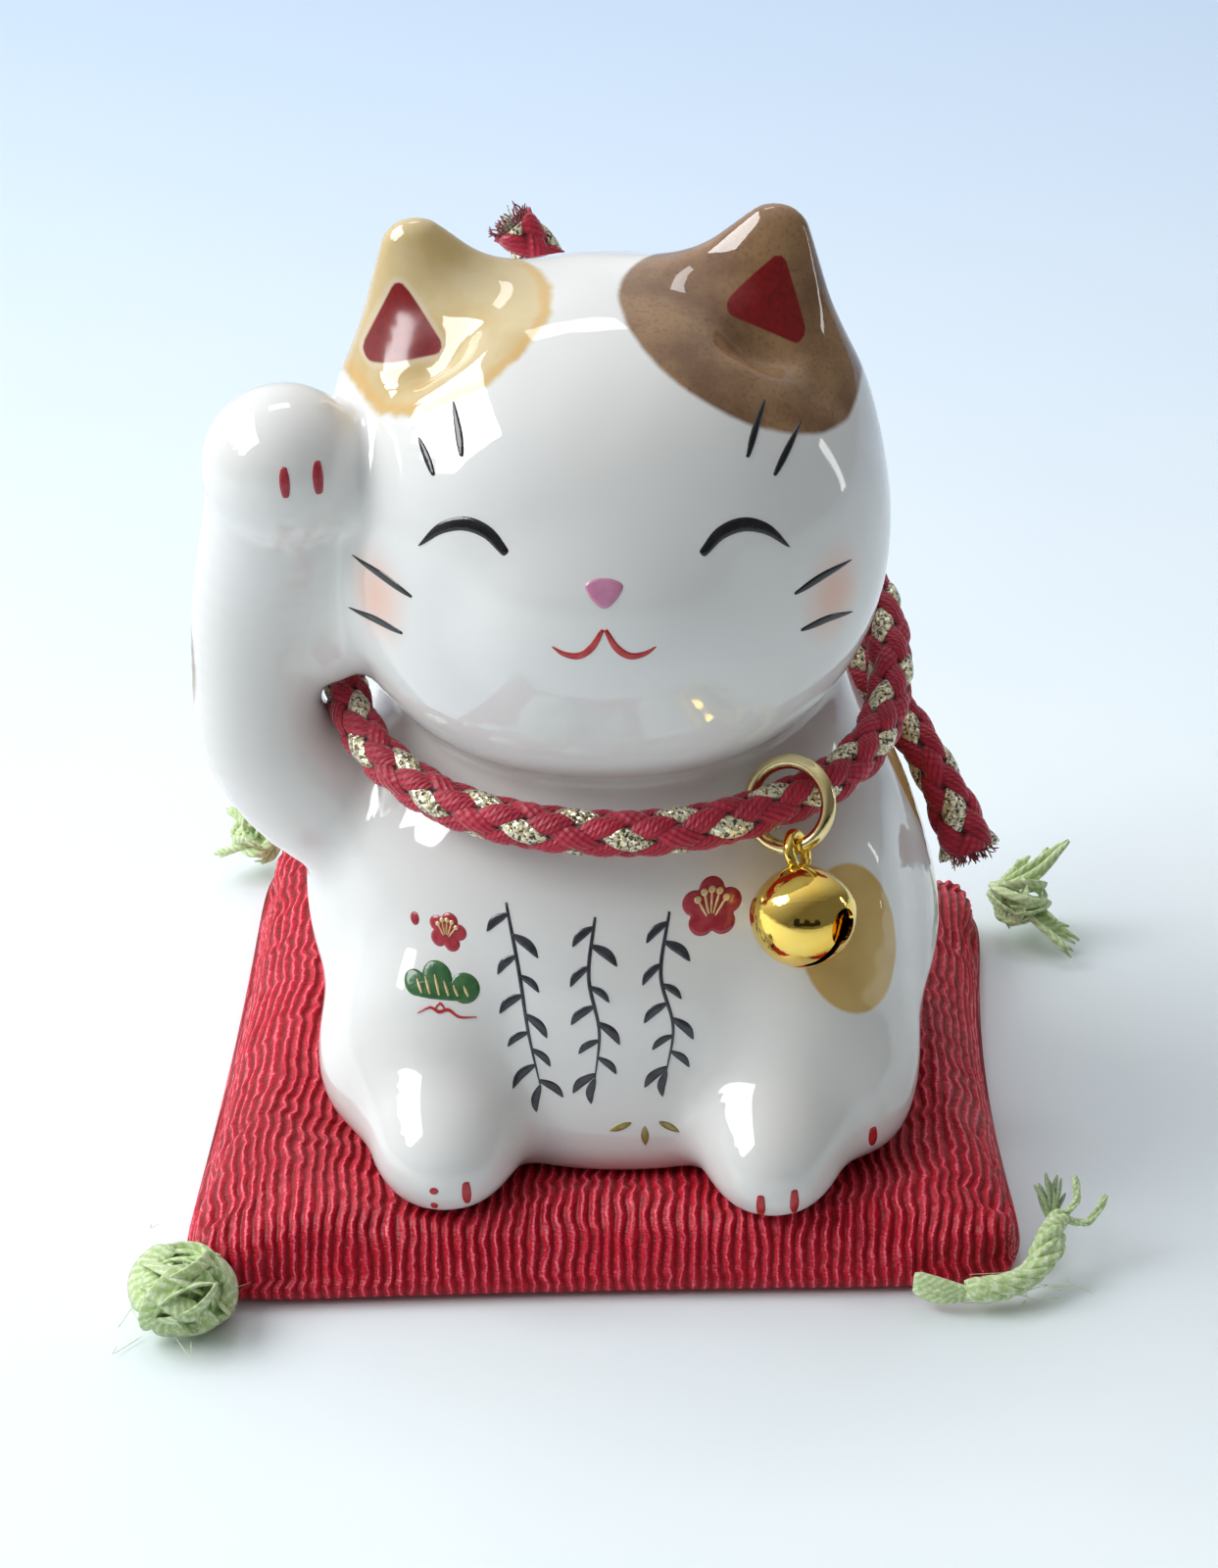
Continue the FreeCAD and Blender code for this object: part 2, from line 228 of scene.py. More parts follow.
def porcelain_paint():
    p = Paint("glazed_porcelain", Roughness=0.04, IOR=1.6)
    wander = p.math("MULTIPLY", p.math("SUBTRACT", p.noise(0.35 * PER_MM, 3.0), 0.5), 1.6)
    cloud = p.noise(0.16 * PER_MM, 3.0)
    body = p.mix(p.scaled(p.noise(0.05 * PER_MM, 2.0), 0.35, 0.65), rgb(233, 233, 231), rgb(229, 228, 225))
    # tan watercolour: pale in the middle, a deeper line where the wash dried at its edge
    tan = p.math("ADD", p.value("tan"), wander)
    wash = p.mix(p.scaled(cloud, 0.4, 0.62), rgb(214, 194, 150), rgb(203, 176, 122))
    wash = p.mix(p.scaled(p.value("pale"), 2.6, 0.0, smooth=True), wash, rgb(226, 220, 205))
    rim = p.scaled(p.math("ABSOLUTE", p.math("ADD", tan, 0.7)), 0.9, 0.0, 0.0, 0.65, smooth=True)
    wash = p.mix(rim, wash, rgb(214, 168, 92))
    body = p.mix(p.scaled(tan, 0.45, -0.35, smooth=True), body, wash)
    # flat ochre spots low on the body
    ochre = p.mix(p.scaled(cloud, 0.35, 0.65), rgb(217, 186, 122), rgb(204, 168, 100))
    body = p.mix(p.scaled(p.value("ochre"), 0.22, -0.22, smooth=True), body, ochre)
    # brown ear
    brown_edge = p.math("ADD", p.value("brown"), p.math("MULTIPLY", wander, 0.3))
    speck = p.noise(2.4 * PER_MM, 2.0)
    brown = p.mix(p.scaled(cloud, 0.4, 0.62), rgb(122, 88, 60), rgb(156, 120, 84))
    brown = p.mix(p.scaled(speck, 0.5, 0.75, 0.0, 0.4), brown, rgb(84, 54, 34))
    brown = p.mix(p.scaled(p.value("pale"), 2.0, 0.0, 0.0, 0.6, smooth=True), brown, rgb(206, 180, 150))
    body = p.mix(p.scaled(brown_edge, 0.35, -0.3, smooth=True), body, brown)
    # red inside the ears, with a bare margin round it
    margin = p.scaled(p.value("inner"), 0.7, 0.15, 0.0, 0.4, smooth=True)
    bare = p.math("MULTIPLY", margin, p.scaled(tan, 0.4, -0.4))
    body = p.mix(bare, body, rgb(226, 214, 204))
    red = p.mix(p.scaled(p.noise(1.6 * PER_MM, 3.0), 0.4, 0.7), rgb(132, 14, 16), rgb(112, 8, 12))
    body = p.mix(p.scaled(p.value("inner"), 0.1, -0.1, smooth=True), body, red)
    # soft cheeks
    body = p.mix(p.scaled(p.value("blush"), 1.0, 0.0, 0.0, 0.6, smooth=True), body, rgb(240, 166, 128))
    p.color(body)
    painted = p.scaled(p.value("inner"), 0.1, -0.1, 0.045, 0.16)
    p.set(p.shader, {"Roughness": painted})
    waves = p.math("ADD", p.noise(0.09 * PER_MM, 1.0), p.math("MULTIPLY", p.noise(0.5 * PER_MM, 1.0), 0.06))
    p.bump(waves, 0.45, 0.5)
    return p.material


def enamel(name, main, worn, roughness=0.16):
    """Overglaze enamel: thin, slightly raised, a little uneven where the brush thinned it."""
    p = Paint(name, Roughness=roughness, IOR=1.5)
    tone = p.scaled(p.noise(0.9 * PER_MM, 4.0), 0.38, 0.72)
    p.color(p.mix(tone, rgb(*main), rgb(*worn)))
    p.bump(p.noise(2.2 * PER_MM, 3.0), 0.05, 0.5)
    return p.material


def gold_enamel(name, main, worn):
    p = Paint(name, Roughness=0.3, Metallic=0.35)
    p.color(p.mix(p.scaled(p.noise(1.4 * PER_MM, 3.0), 0.35, 0.7), rgb(*main), rgb(*worn)))
    p.bump(p.noise(3.0 * PER_MM, 2.0), 0.05, 0.5)
    return p.material


def polished_gold(name, main, deep, roughness=0.07):
    """Gilt brass: polished, with faint wiping marks and a darker tone where it has worn."""
    p = Paint(name, Metallic=1.0, Roughness=roughness)
    tone = p.scaled(p.noise(0.22 * PER_MM, 3.0), 0.35, 0.7)
    p.color(p.mix(tone, rgb(*main), rgb(*deep)))
    marks = p.noise(1.0 * PER_MM, 4.0, vector=p.stretched((0.5, 0.5, 4.0)))
    p.set(p.shader, {"Roughness": p.scaled(marks, 0.3, 0.8, roughness * 0.6, roughness * 2.0)})
    dents = p.math("ADD", p.noise(0.16 * PER_MM, 1.0), p.math("MULTIPLY", marks, 0.03))
    p.bump(dents, 0.35, 0.6)
    return p.material


# ---------------------------------------------------------------- the cat's form, as a distance in mm

BASE_Z = 7.6
TORSO_TOP = 58.0
TORSO_POWER = 2.25
# height, then the left, right, front and back of the body there
TORSO_ROWS = np.array([
    (4.0, -15.0, 18.0, -25.5, 14.0),
    (6.4, -18.3, 20.5, -28.6, 17.0),
    (9.0, -21.6, 25.6, -29.8, 21.0),
    (12.0, -25.0, 30.4, -30.2, 23.5),
    (18.0, -28.6, 33.4, -29.8, 25.5),
    (25.0, -30.2, 33.6, -28.8, 26.4),
    (32.0, -29.4, 31.8, -26.6, 25.2),
    (38.0, -27.5, 29.3, -23.8, 23.0),
    (43.0, -24.0, 26.2, -20.6, 20.6),
    (48.0, -21.2, 24.0, -17.8, 18.4),
    (54.0, -18.5, 21.5, -15.0, 15.5),
    (60.0, -15.0, 17.5, -13.0, 12.0)])
HIPS = ((2.1, 1.5, 20.0), (31.4, 25.6, 17.5))
HEAD = ((0.2, -5.0, 66.8), (27.3, 24.8, 25.1), 2.15)
MUZZLE = ((0.0, -25.4, 66.0), (9.5, 5.5, 6.5))
ARM = [((-22.0, -6.5, 33.5), 6.4), ((-28.6, -7.0, 38.6), 7.2), ((-33.2, -7.8, 45.0), 6.5),
       ((-34.0, -8.8, 53.0), 6.0), ((-33.2, -10.2, 61.0), 6.2), ((-31.2, -12.0, 70.0), 6.6),
       ((-30.0, -12.6, 76.0), 6.9)]
PAW = ((-29.7, -14.2, 76.2), (7.8, 7.9, 7.6))
WEB = ((-26.2, -8.5, 64.0), (4.8, 6.2, 12.6))
EARS = [((11.0, -3.8, 79.0), 12.6, (15.8, -4.2, 94.6), 3.5),
        ((-12.6, -3.8, 78.5), 12.0, (-17.5, -4.2, 93.2), 3.5)]
EAR_FLATTEN = 1.45
SCOOP_HALF = (3.4, 1.6, 4.0)
SCOOP_Y = -13.3
EAR_FILLET = 4.6
LEGS = [[((20.6, -14.5, 33.0), 7.0), ((20.4, -20.0, 24.0), 8.0), ((17.6, -27.0, 14.0), 7.0)],
        [((-16.5, -20.5, 20.0), 8.0), ((-15.8, -26.2, 13.5), 7.2)]]
FEET = [((16.2, -32.2, 11.5), (6.2, 6.9, 5.6)), ((-15.4, -31.4, 11.6), (6.5, 6.9, 5.5)),
        ((25.2, -19.6, 14.2), (5.8, 10.5, 8.2)), ((-21.4, -17.5, 14.0), (7.0, 10.0, 8.0))]
FOOT_FILLET = 4.6
TAIL = [((2.0, 24.0, 22.0), 4.6), ((8.5, 26.6, 19.0), 4.4), ((15.5, 25.2, 15.5), 4.0),
        ((21.0, 21.8, 14.0), 3.2)]


def ellipsoid(p, centre, half):
    half = np.array(half)
    q = (p - np.array(centre)) / half
    k0 = np.linalg.norm(q, axis=-1)
    k1 = np.linalg.norm(q / half, axis=-1) + 1e-9
    return k0 * (k0 - 1.0) / k1


def power_ellipsoid(p, centre, half, power):
    away = p - np.array(centre)
    rho = ((np.abs(away) / np.array(half)) ** power).sum(-1) ** (1 / power) + 1e-9
    return (rho - 1.0) * np.linalg.norm(away, axis=-1) / rho


def round_cone(p, a, ra, b, rb):
    """Distance to the hull of two balls."""
    a, b = np.array(a, float), np.array(b, float)
    axis = b - a
    length2 = axis @ axis
    slope = (ra - rb) / math.sqrt(length2)
    along = ((p - a) @ axis) / length2
    off = np.linalg.norm(p - (a + np.clip(along, 0, 1)[..., None] * axis), axis=-1)
    t = np.clip(along - off * slope / math.sqrt(length2 * max(1e-6, 1 - slope ** 2)), 0, 1)
    return np.linalg.norm(p - (a + t[..., None] * axis), axis=-1) - (ra + t * (rb - ra))


def melt(a, b, k):
    """The two forms joined, with a fillet about k wide."""
    h = np.clip(0.5 + 0.5 * (b - a) / k, 0, 1)
    return b + (a - b) * h - k * h * (1 - h)


def hollow(a, b, k):
    """a with b taken away."""
    return -melt(-a, b, k)


def smooth_rows(rows, z):
    """Rows, keyed by their first column, at the values z, by a cubic through them."""
    x = rows[:, 0]
    i = np.clip(np.searchsorted(x, z) - 1, 0, len(x) - 2)
    slope = np.gradient(rows[:, 1:], x, axis=0)
    h = (x[i + 1] - x[i])[..., None]
    t = np.clip((z - x[i])[..., None] / h, 0, 1)
    p0, p1, m0, m1 = rows[i, 1:], rows[i + 1, 1:], slope[i] * h, slope[i + 1] * h
    t2, t3 = t ** 2, t ** 3
    return (2 * t3 - 3 * t2 + 1) * p0 + (t3 - 2 * t2 + t) * m0 + (3 * t2 - 2 * t3) * p1 + (t3 - t2) * m1


def limb(p, balls, k=0.15):
    """A limb through the balls, along a smooth curve."""
    rows = np.array([[i, *centre, radius] for i, (centre, radius) in enumerate(balls)], float)
    fine = smooth_rows(rows, np.linspace(0, len(balls) - 1, 4 * (len(balls) - 1) + 1))
    d = None
    for a, b in zip(fine, fine[1:]):
        s = round_cone(p, a[:3], a[3], b[:3], b[3])
        d = s if d is None else melt(d, s, k)
    return d


def torso(p):
    left, right, front, back = np.moveaxis(smooth_rows(TORSO_ROWS, p[..., 2]), -1, 0)
    u = np.abs(p[..., 0] - (left + right) / 2)
    v = np.abs(p[..., 1] - (front + back) / 2)
    a, b = (right - left) / 2, (back - front) / 2
    rho = ((u / a) ** TORSO_POWER + (v / b) ** TORSO_POWER) ** (1 / TORSO_POWER) + 1e-9
    d = (rho - 1) * np.sqrt(u * u + v * v + 1e-9) / rho
    return np.maximum(d * 0.93, p[..., 2] - TORSO_TOP)


def head_form(p):
    head = melt(power_ellipsoid(p, *HEAD), ellipsoid(p, *MUZZLE), 6.0)
    for root, root_r, tip, tip_r in EARS:
        q = p.copy()
        q[..., 1] = root[1] + (p[..., 1] - root[1]) * EAR_FLATTEN
        head = melt(head, round_cone(q, root, root_r, tip, tip_r) / 1.15, EAR_FILLET)
        side = 1 if root[0] > 0 else -1
        head = hollow(head, ellipsoid(p, (tip[0] - side * 0.6, SCOOP_Y, tip[2] - 4.8), SCOOP_HALF), 3.0)
    return head


def cat(p):
    d = melt(torso(p), ellipsoid(p, *HIPS), 2.5)
    for leg in LEGS:
        d = melt(d, limb(p, leg), 5.0)
    for foot in FEET:
        d = melt(d, ellipsoid(p, *foot), FOOT_FILLET)
    d = melt(d, limb(p, TAIL), 2.0)
    d = melt(d, head_form(p), 2.2)
    arm = melt(limb(p, ARM), ellipsoid(p, *PAW), 0.9)
    d = melt(melt(d, arm, 2.6), ellipsoid(p, *WEB), 3.5)
    return -melt(-d, p[..., 2] - BASE_Z, 0.8)


def slope_of(f, p, value, h=0.03):
    return np.stack([(f(p + h * axis) - value) / h for axis in np.eye(3)], -1)


def settle(f, p, rounds=3):
    """The points moved onto the surface f = 0, and the surface's outward direction there."""
    for _ in range(rounds):
        value = f(p)
        g = slope_of(f, p, value)
        p = p - value[:, None] * g / ((g ** 2).sum(1)[:, None] + 1e-6)
    return p, unit(slope_of(f, p, f(p)))


def sampled(f, low, high, step, block=6):
    """f on a grid, worked out in full only in the blocks near its surface."""
    counts = [int(math.ceil((h - l) / (step * block))) for l, h in zip(low, high)]
    centres = [l + (np.arange(n) * block + (block - 1) / 2) * step for l, n in zip(low, counts)]
    coarse = f(np.stack(np.meshgrid(*centres, indexing="ij"), -1))
    val = coarse
    for axis in range(3):
        val = np.repeat(val, block, axis)
    near = np.abs(val) < (0.5 * math.sqrt(3) * block + 1) * step * 1.35
    index = np.argwhere(near)
    val[near] = f(np.array(low) + index * step)
    return val


def surface_net(f, low, high, step, rounds):
    """Quads on f = 0, their points settled on it, and the normals there."""
    val = sampled(f, low, high, step)
    inside = val < 0
    n = [s - 1 for s in val.shape]
    corners = [(a, b, c) for a in (0, 1) for b in (0, 1) for c in (0, 1)]

    def at_corner(array, c):
        return array[c[0]:c[0] + n[0], c[1]:c[1] + n[1], c[2]:c[2] + n[2]]

    count = sum(at_corner(inside, c).astype(int) for c in corners)
    active = (count > 0) & (count < 8)
    index = -np.ones(active.shape, int)
    index[active] = np.arange(active.sum())
    base = np.argwhere(active).astype(float)
    total, crossings = np.zeros((len(base), 3)), np.zeros(len(base))
    for a in corners:
        for axis in range(3):
            if a[axis]:
                continue
            b = tuple(1 if k == axis else a[k] for k in range(3))
            va, vb = at_corner(val, a)[active], at_corner(val, b)[active]
            cross = (va < 0) != (vb < 0)
            t = np.where(cross, va / np.where(cross, va - vb, 1), 0)
            total += (np.array(a, float) + t[:, None] * (np.array(b) - np.array(a))) * cross[:, None]
            crossings += cross
    verts = np.array(low) + (base + total / crossings[:, None]) * step
    faces = []
    for axis in range(3):
        o1, o2 = [(1, 2), (2, 0), (0, 1)][axis]
        near_side, far_side = [slice(1, -1)] * 3, [slice(1, -1)] * 3
        near_side[axis], far_side[axis] = slice(0, -1), slice(1, None)
        s0, s1 = inside[tuple(near_side)], inside[tuple(far_side)]
        for flip in (False, True):
            ids = np.argwhere((~s0 & s1) if flip else (s0 & ~s1))
            shift = np.ones(3, int)
            shift[axis] = 0
            ids = ids + shift
            quad = []
            for d1, d2 in ((1, 1), (0, 1), (0, 0), (1, 0)):
                q = ids.copy()
                q[:, o1] -= d1
                q[:, o2] -= d2
                quad.append(index[q[:, 0], q[:, 1], q[:, 2]])
            quad = np.stack(quad, 1)
            faces.append(quad[:, ::-1] if flip else quad)
    verts, normals = settle(f, verts, rounds)
    return verts, np.concatenate(faces), normals


def polygon(q, corners):
    """Signed distance of 2-D points to a polygon, negative inside."""
    corners = np.array(corners, float)
    nearest = np.full(len(q), np.inf)
    inside = np.zeros(len(q), bool)
    for a, b in zip(corners, np.roll(corners, -1, 0)):
        edge, away = b - a, q - a
        t = np.clip((away @ edge) / (edge @ edge), 0, 1)
        nearest = np.minimum(nearest, np.linalg.norm(away - t[:, None] * edge, axis=1))
        rises = (a[1] > q[:, 1]) != (b[1] > q[:, 1])
        level = (q[:, 1] - a[1]) * edge[0] / (edge[1] if edge[1] else 1e-9) + a[0]
        inside ^= rises & (q[:, 0] < level)
    return np.where(inside, -nearest, nearest)


def balls(p, *parts):
    """Distance to balls melted together."""
    d = None
    for centre, radius in parts:
        s = np.linalg.norm(p - np.array(centre), axis=1) - radius
        d = s if d is None else melt(d, s, 3.0)
    return d


INNER_LEFT = ((-19.0, 90.7), (-21.8, 85.2), (-15.8, 86.9))
INNER_RIGHT = ((16.1, 93.4), (17.9, 87.7), (12.1, 90.4))
INNER_ROUNDING = 0.8
CHEEKS = ((-21.3, -21.5, 66.0), (21.3, -21.5, 66.4))
# spots near the ears' tips where their colour turns paler
PALE_SPOTS = ((-19.5, -8.0, 95.0), (-16.0, -11.0, 93.5), (-11.8, -14.0, 90.5), (6.0, -11.0, 92.5),
              (10.5, -9.0, 95.0))


def make_cat(material):
    step = 0.72
    low, high = (-43.0, -41.0, 4.0), (36.0, 33.0, 102.0)
    verts, faces, normals = surface_net(cat, low, high, step, 3)
    obj = mesh_object("porcelain_cat", verts, faces, material, "cat")
    obj.data.normals_split_custom_set_from_vertices(normals.tolist())
    flat = verts[:, [0, 2]]
    tan = balls(verts, ((-16.0, -10.3, 91.0), 11.3), ((-19.0, -1.0, 89.0), 10.0))
    brown = balls(verts, ((13.8, -9.8, 89.0), 12.7), ((16.5, -0.5, 88.5), 10.5))
    brown = np.minimum(brown, ellipsoid(verts, (-42.4, -9.0, 54.5), (3.2, 6.5, 8.0)))
    ochre = np.minimum.reduce([
        ellipsoid(verts, (24.0, -24.0, 31.0), (5.4, 6.5, 7.6)),
        balls(verts, ((33.0, 4.0, 37.0), 8.5), ((29.0, 12.0, 33.0), 7.0)),
        balls(verts, ((-13.0, 25.0, 38.0), 8.0), ((-20.0, 20.0, 33.0), 6.0))])
    inner = np.minimum(polygon(flat, INNER_LEFT), polygon(flat, INNER_RIGHT)) - INNER_ROUNDING
    inner = np.where(verts[:, 1] > -4.5, 9.0, inner)
    crest = np.minimum.reduce([np.linalg.norm(verts - np.array(c), axis=1) for c in PALE_SPOTS])
    cheek = [np.linalg.norm((verts - np.array(c)) / (1.0, 1.0, 1.25), axis=1) / 5.4 for c in CHEEKS]
    attribute(obj, "tan", tan)
    attribute(obj, "brown", brown)
    attribute(obj, "ochre", ochre)
    attribute(obj, "inner", inner)
    attribute(obj, "pale", crest)
    attribute(obj, "blush", np.minimum(*cheek))
    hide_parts("cat_body")
    return obj


# ---------------------------------------------------------------- enamel drawing on the glaze

ENAMEL_RISE = 0.10
ENAMEL_SINK = -0.12


def reach(x, z):
    """Points on the cat's front straight behind these x and z."""
    p = np.stack([np.asarray(x, float), np.full(len(x), -44.0), np.asarray(z, float)], 1)
    for _ in range(40):
        p[:, 1] += cat(p) * 0.8
    return settle(cat, p, 2)


class Drawing:
    """Brush marks gathered into one raised mesh that follows the surface."""

    ROWS = (-1.0, -0.85, -0.45, 0.0, 0.45, 0.85, 1.0)

    def __init__(self):
        self.flat, self.lift, self.faces = [], [], []
        self.count = 0

    def _put(self, points, lift):
        self.flat.append(points)
        self.lift.append(lift)
        start = self.count
        self.count += len(points)
        return start

    def stroke(self, points, width, ends=(0.15, 0.15), bulge=0.5, rise=1.0):
        """A mark along points (x, z); its width swells from the first end to bulge and back."""
        line = smooth_line(points, 8 + 6 * len(points))
        t = np.linspace(0, 1, len(line))
        reach_end = np.where(t < bulge, t / bulge, (1 - t) / (1 - bulge))
        end = np.where(t < bulge, ends[0], ends[1])
        half = 0.5 * width * (end + (1 - end) * np.sin(np.clip(reach_end, 0, 1) * math.pi / 2) ** 0.8)
        tangent = unit(np.gradient(line, axis=0))
        across = np.stack([-tangent[:, 1], tangent[:, 0]], 1)
        # rounded tips
        first = line[:1] - tangent[:1] * half[0] * 0.8
        last = line[-1:] + tangent[-1:] * half[-1] * 0.8
        line = np.concatenate([first, line, last])
        across = np.concatenate([across[:1], across, across[-1:]])
        half = np.concatenate([half[:1] * 0.25, half, half[-1:] * 0.25])
        rows = np.array(self.ROWS)
        ring = line[:, None] + across[:, None] * half[:, None, None] * rows[None, :, None]
        lift = np.tile(ENAMEL_RISE * rise * (1 - rows ** 4), (len(line), 1))
        lift[[0, -1]] = ENAMEL_SINK
        lift[:, [0, -1]] = ENAMEL_SINK
        under = line[:, None]
        ring = np.concatenate([ring, under], 1)
        lift = np.concatenate([lift, np.full((len(line), 1), ENAMEL_SINK * 1.5)], 1)
        around = len(rows) + 1
        start = self._put(ring.reshape(-1, 2), lift.reshape(-1))
        self.faces += tube_faces(len(line), around, True, start)

    def pad(self, outline, centre=None, rise=1.0):
        """A filled mark inside a closed outline."""
        outline = np.asarray(outline, float)
        centre = outline.mean(0) if centre is None else np.array(centre)
        rings = ((1.0, ENAMEL_SINK), (0.96, 0.03), (0.8, ENAMEL_RISE), (0.45, ENAMEL_RISE),
                 (0.15, ENAMEL_RISE))
        n = len(outline)
        points = np.concatenate([centre + (outline - centre) * s for s, _ in rings] + [centre[None]])
        lift = [np.full(n, r * (rise if r > 0 else 1)) for _, r in rings]
        lift = np.concatenate(lift + [[ENAMEL_RISE * rise]])
        start = self._put(points, lift)
        for k in range(len(rings) - 1):
            for j in range(n):
                a, b = start + k * n, start + (k + 1) * n
                self.faces.append((a + j, a + (j + 1) % n, b + (j + 1) % n, b + j))
        last = start + (len(rings) - 1) * n
        for j in range(n):
            self.faces.append((last + j, last + (j + 1) % n, start + len(rings) * n))
        self.faces.append(tuple(start + j for j in reversed(range(n))))

    def build(self, name, material):
        flat, lift = np.concatenate(self.flat), np.concatenate(self.lift)
        points, normals = reach(flat[:, 0], flat[:, 1])
        obj = mesh_object(name, points + normals * lift[:, None], self.faces, material, "cat")
        return obj


def circle(x, z, rx, rz=None, count=20):
    a = np.linspace(0, 2 * math.pi, count, endpoint=False)
    return np.stack([x + rx * np.cos(a), z + (rx if rz is None else rz) * np.sin(a)], 1)


def scalloped(x, z, radius, lobes, depth, flatten=1.0, turn=0.0, count=70):
    """An outline with round lobes, like five petals."""
    a = np.linspace(0, 2 * math.pi, count, endpoint=False)
    r = radius * (1 - depth + depth * np.abs(np.cos(lobes * (a - turn) / 2)) ** 0.7)
    return np.stack([x + r * np.cos(a), z + flatten * r * np.sin(a)], 1)


def blossom(petals, stamens, x, z, radius, turn):
    petals.pad(scalloped(x, z, radius, 5, 0.32, 0.92, turn))
    foot = (x - 0.05 * radius, z - 0.42 * radius)
    for angle in (150, 118, 90, 62, 30):
        a = math.radians(angle)
        tip = (x + 0.52 * radius * math.cos(a), z + 0.52 * radius * math.sin(a))
        start = (foot[0] + 0.3 * (tip[0] - foot[0]), foot[1] + 0.3 * (tip[1] - foot[1]))
        stamens.stroke([start, tip], 0.095 * radius, (0.5, 0.7), rise=2.2)
        stamens.pad(circle(tip[0], tip[1], 0.125 * radius, 0.12 * radius, 10), rise=2.4)


def leaf(drawing, x, z, turn, size, wide=0.34):
    """One brush-dabbed leaf from a point, turned in degrees from +x."""
    a = math.radians(turn)
    bend = math.radians(turn - 90) if math.cos(a) > 0 else math.radians(turn + 90)
    middle = (x + 0.55 * size * math.cos(a) - 0.1 * size * math.cos(bend),
              z + 0.55 * size * math.sin(a) - 0.1 * size * math.sin(bend))
    tip = (x + size * math.cos(a), z + size * math.sin(a))
    drawing.stroke([(x, z), middle, tip], wide * size, (0.2, 0.06), 0.45)


def branch(drawing, points, leaves, size):
    """A hanging twig with leaves on alternate sides and one at its end."""
    drawing.stroke(points, 0.42, (0.7, 0.3), 0.3)
    line = smooth_line(points, 60)
    for k in range(leaves):
        x, z = line[int(3 + 54 * k / (leaves - 1))]
        side = 1 if k % 2 else -1
        leaf(drawing, x, z, 270 + side * (48 + 6 * math.sin(2.3 * k)), size * (1 + 0.14 * math.sin(1.7 * k)))
    leaf(drawing, line[-1][0], line[-1][1], 262, size)


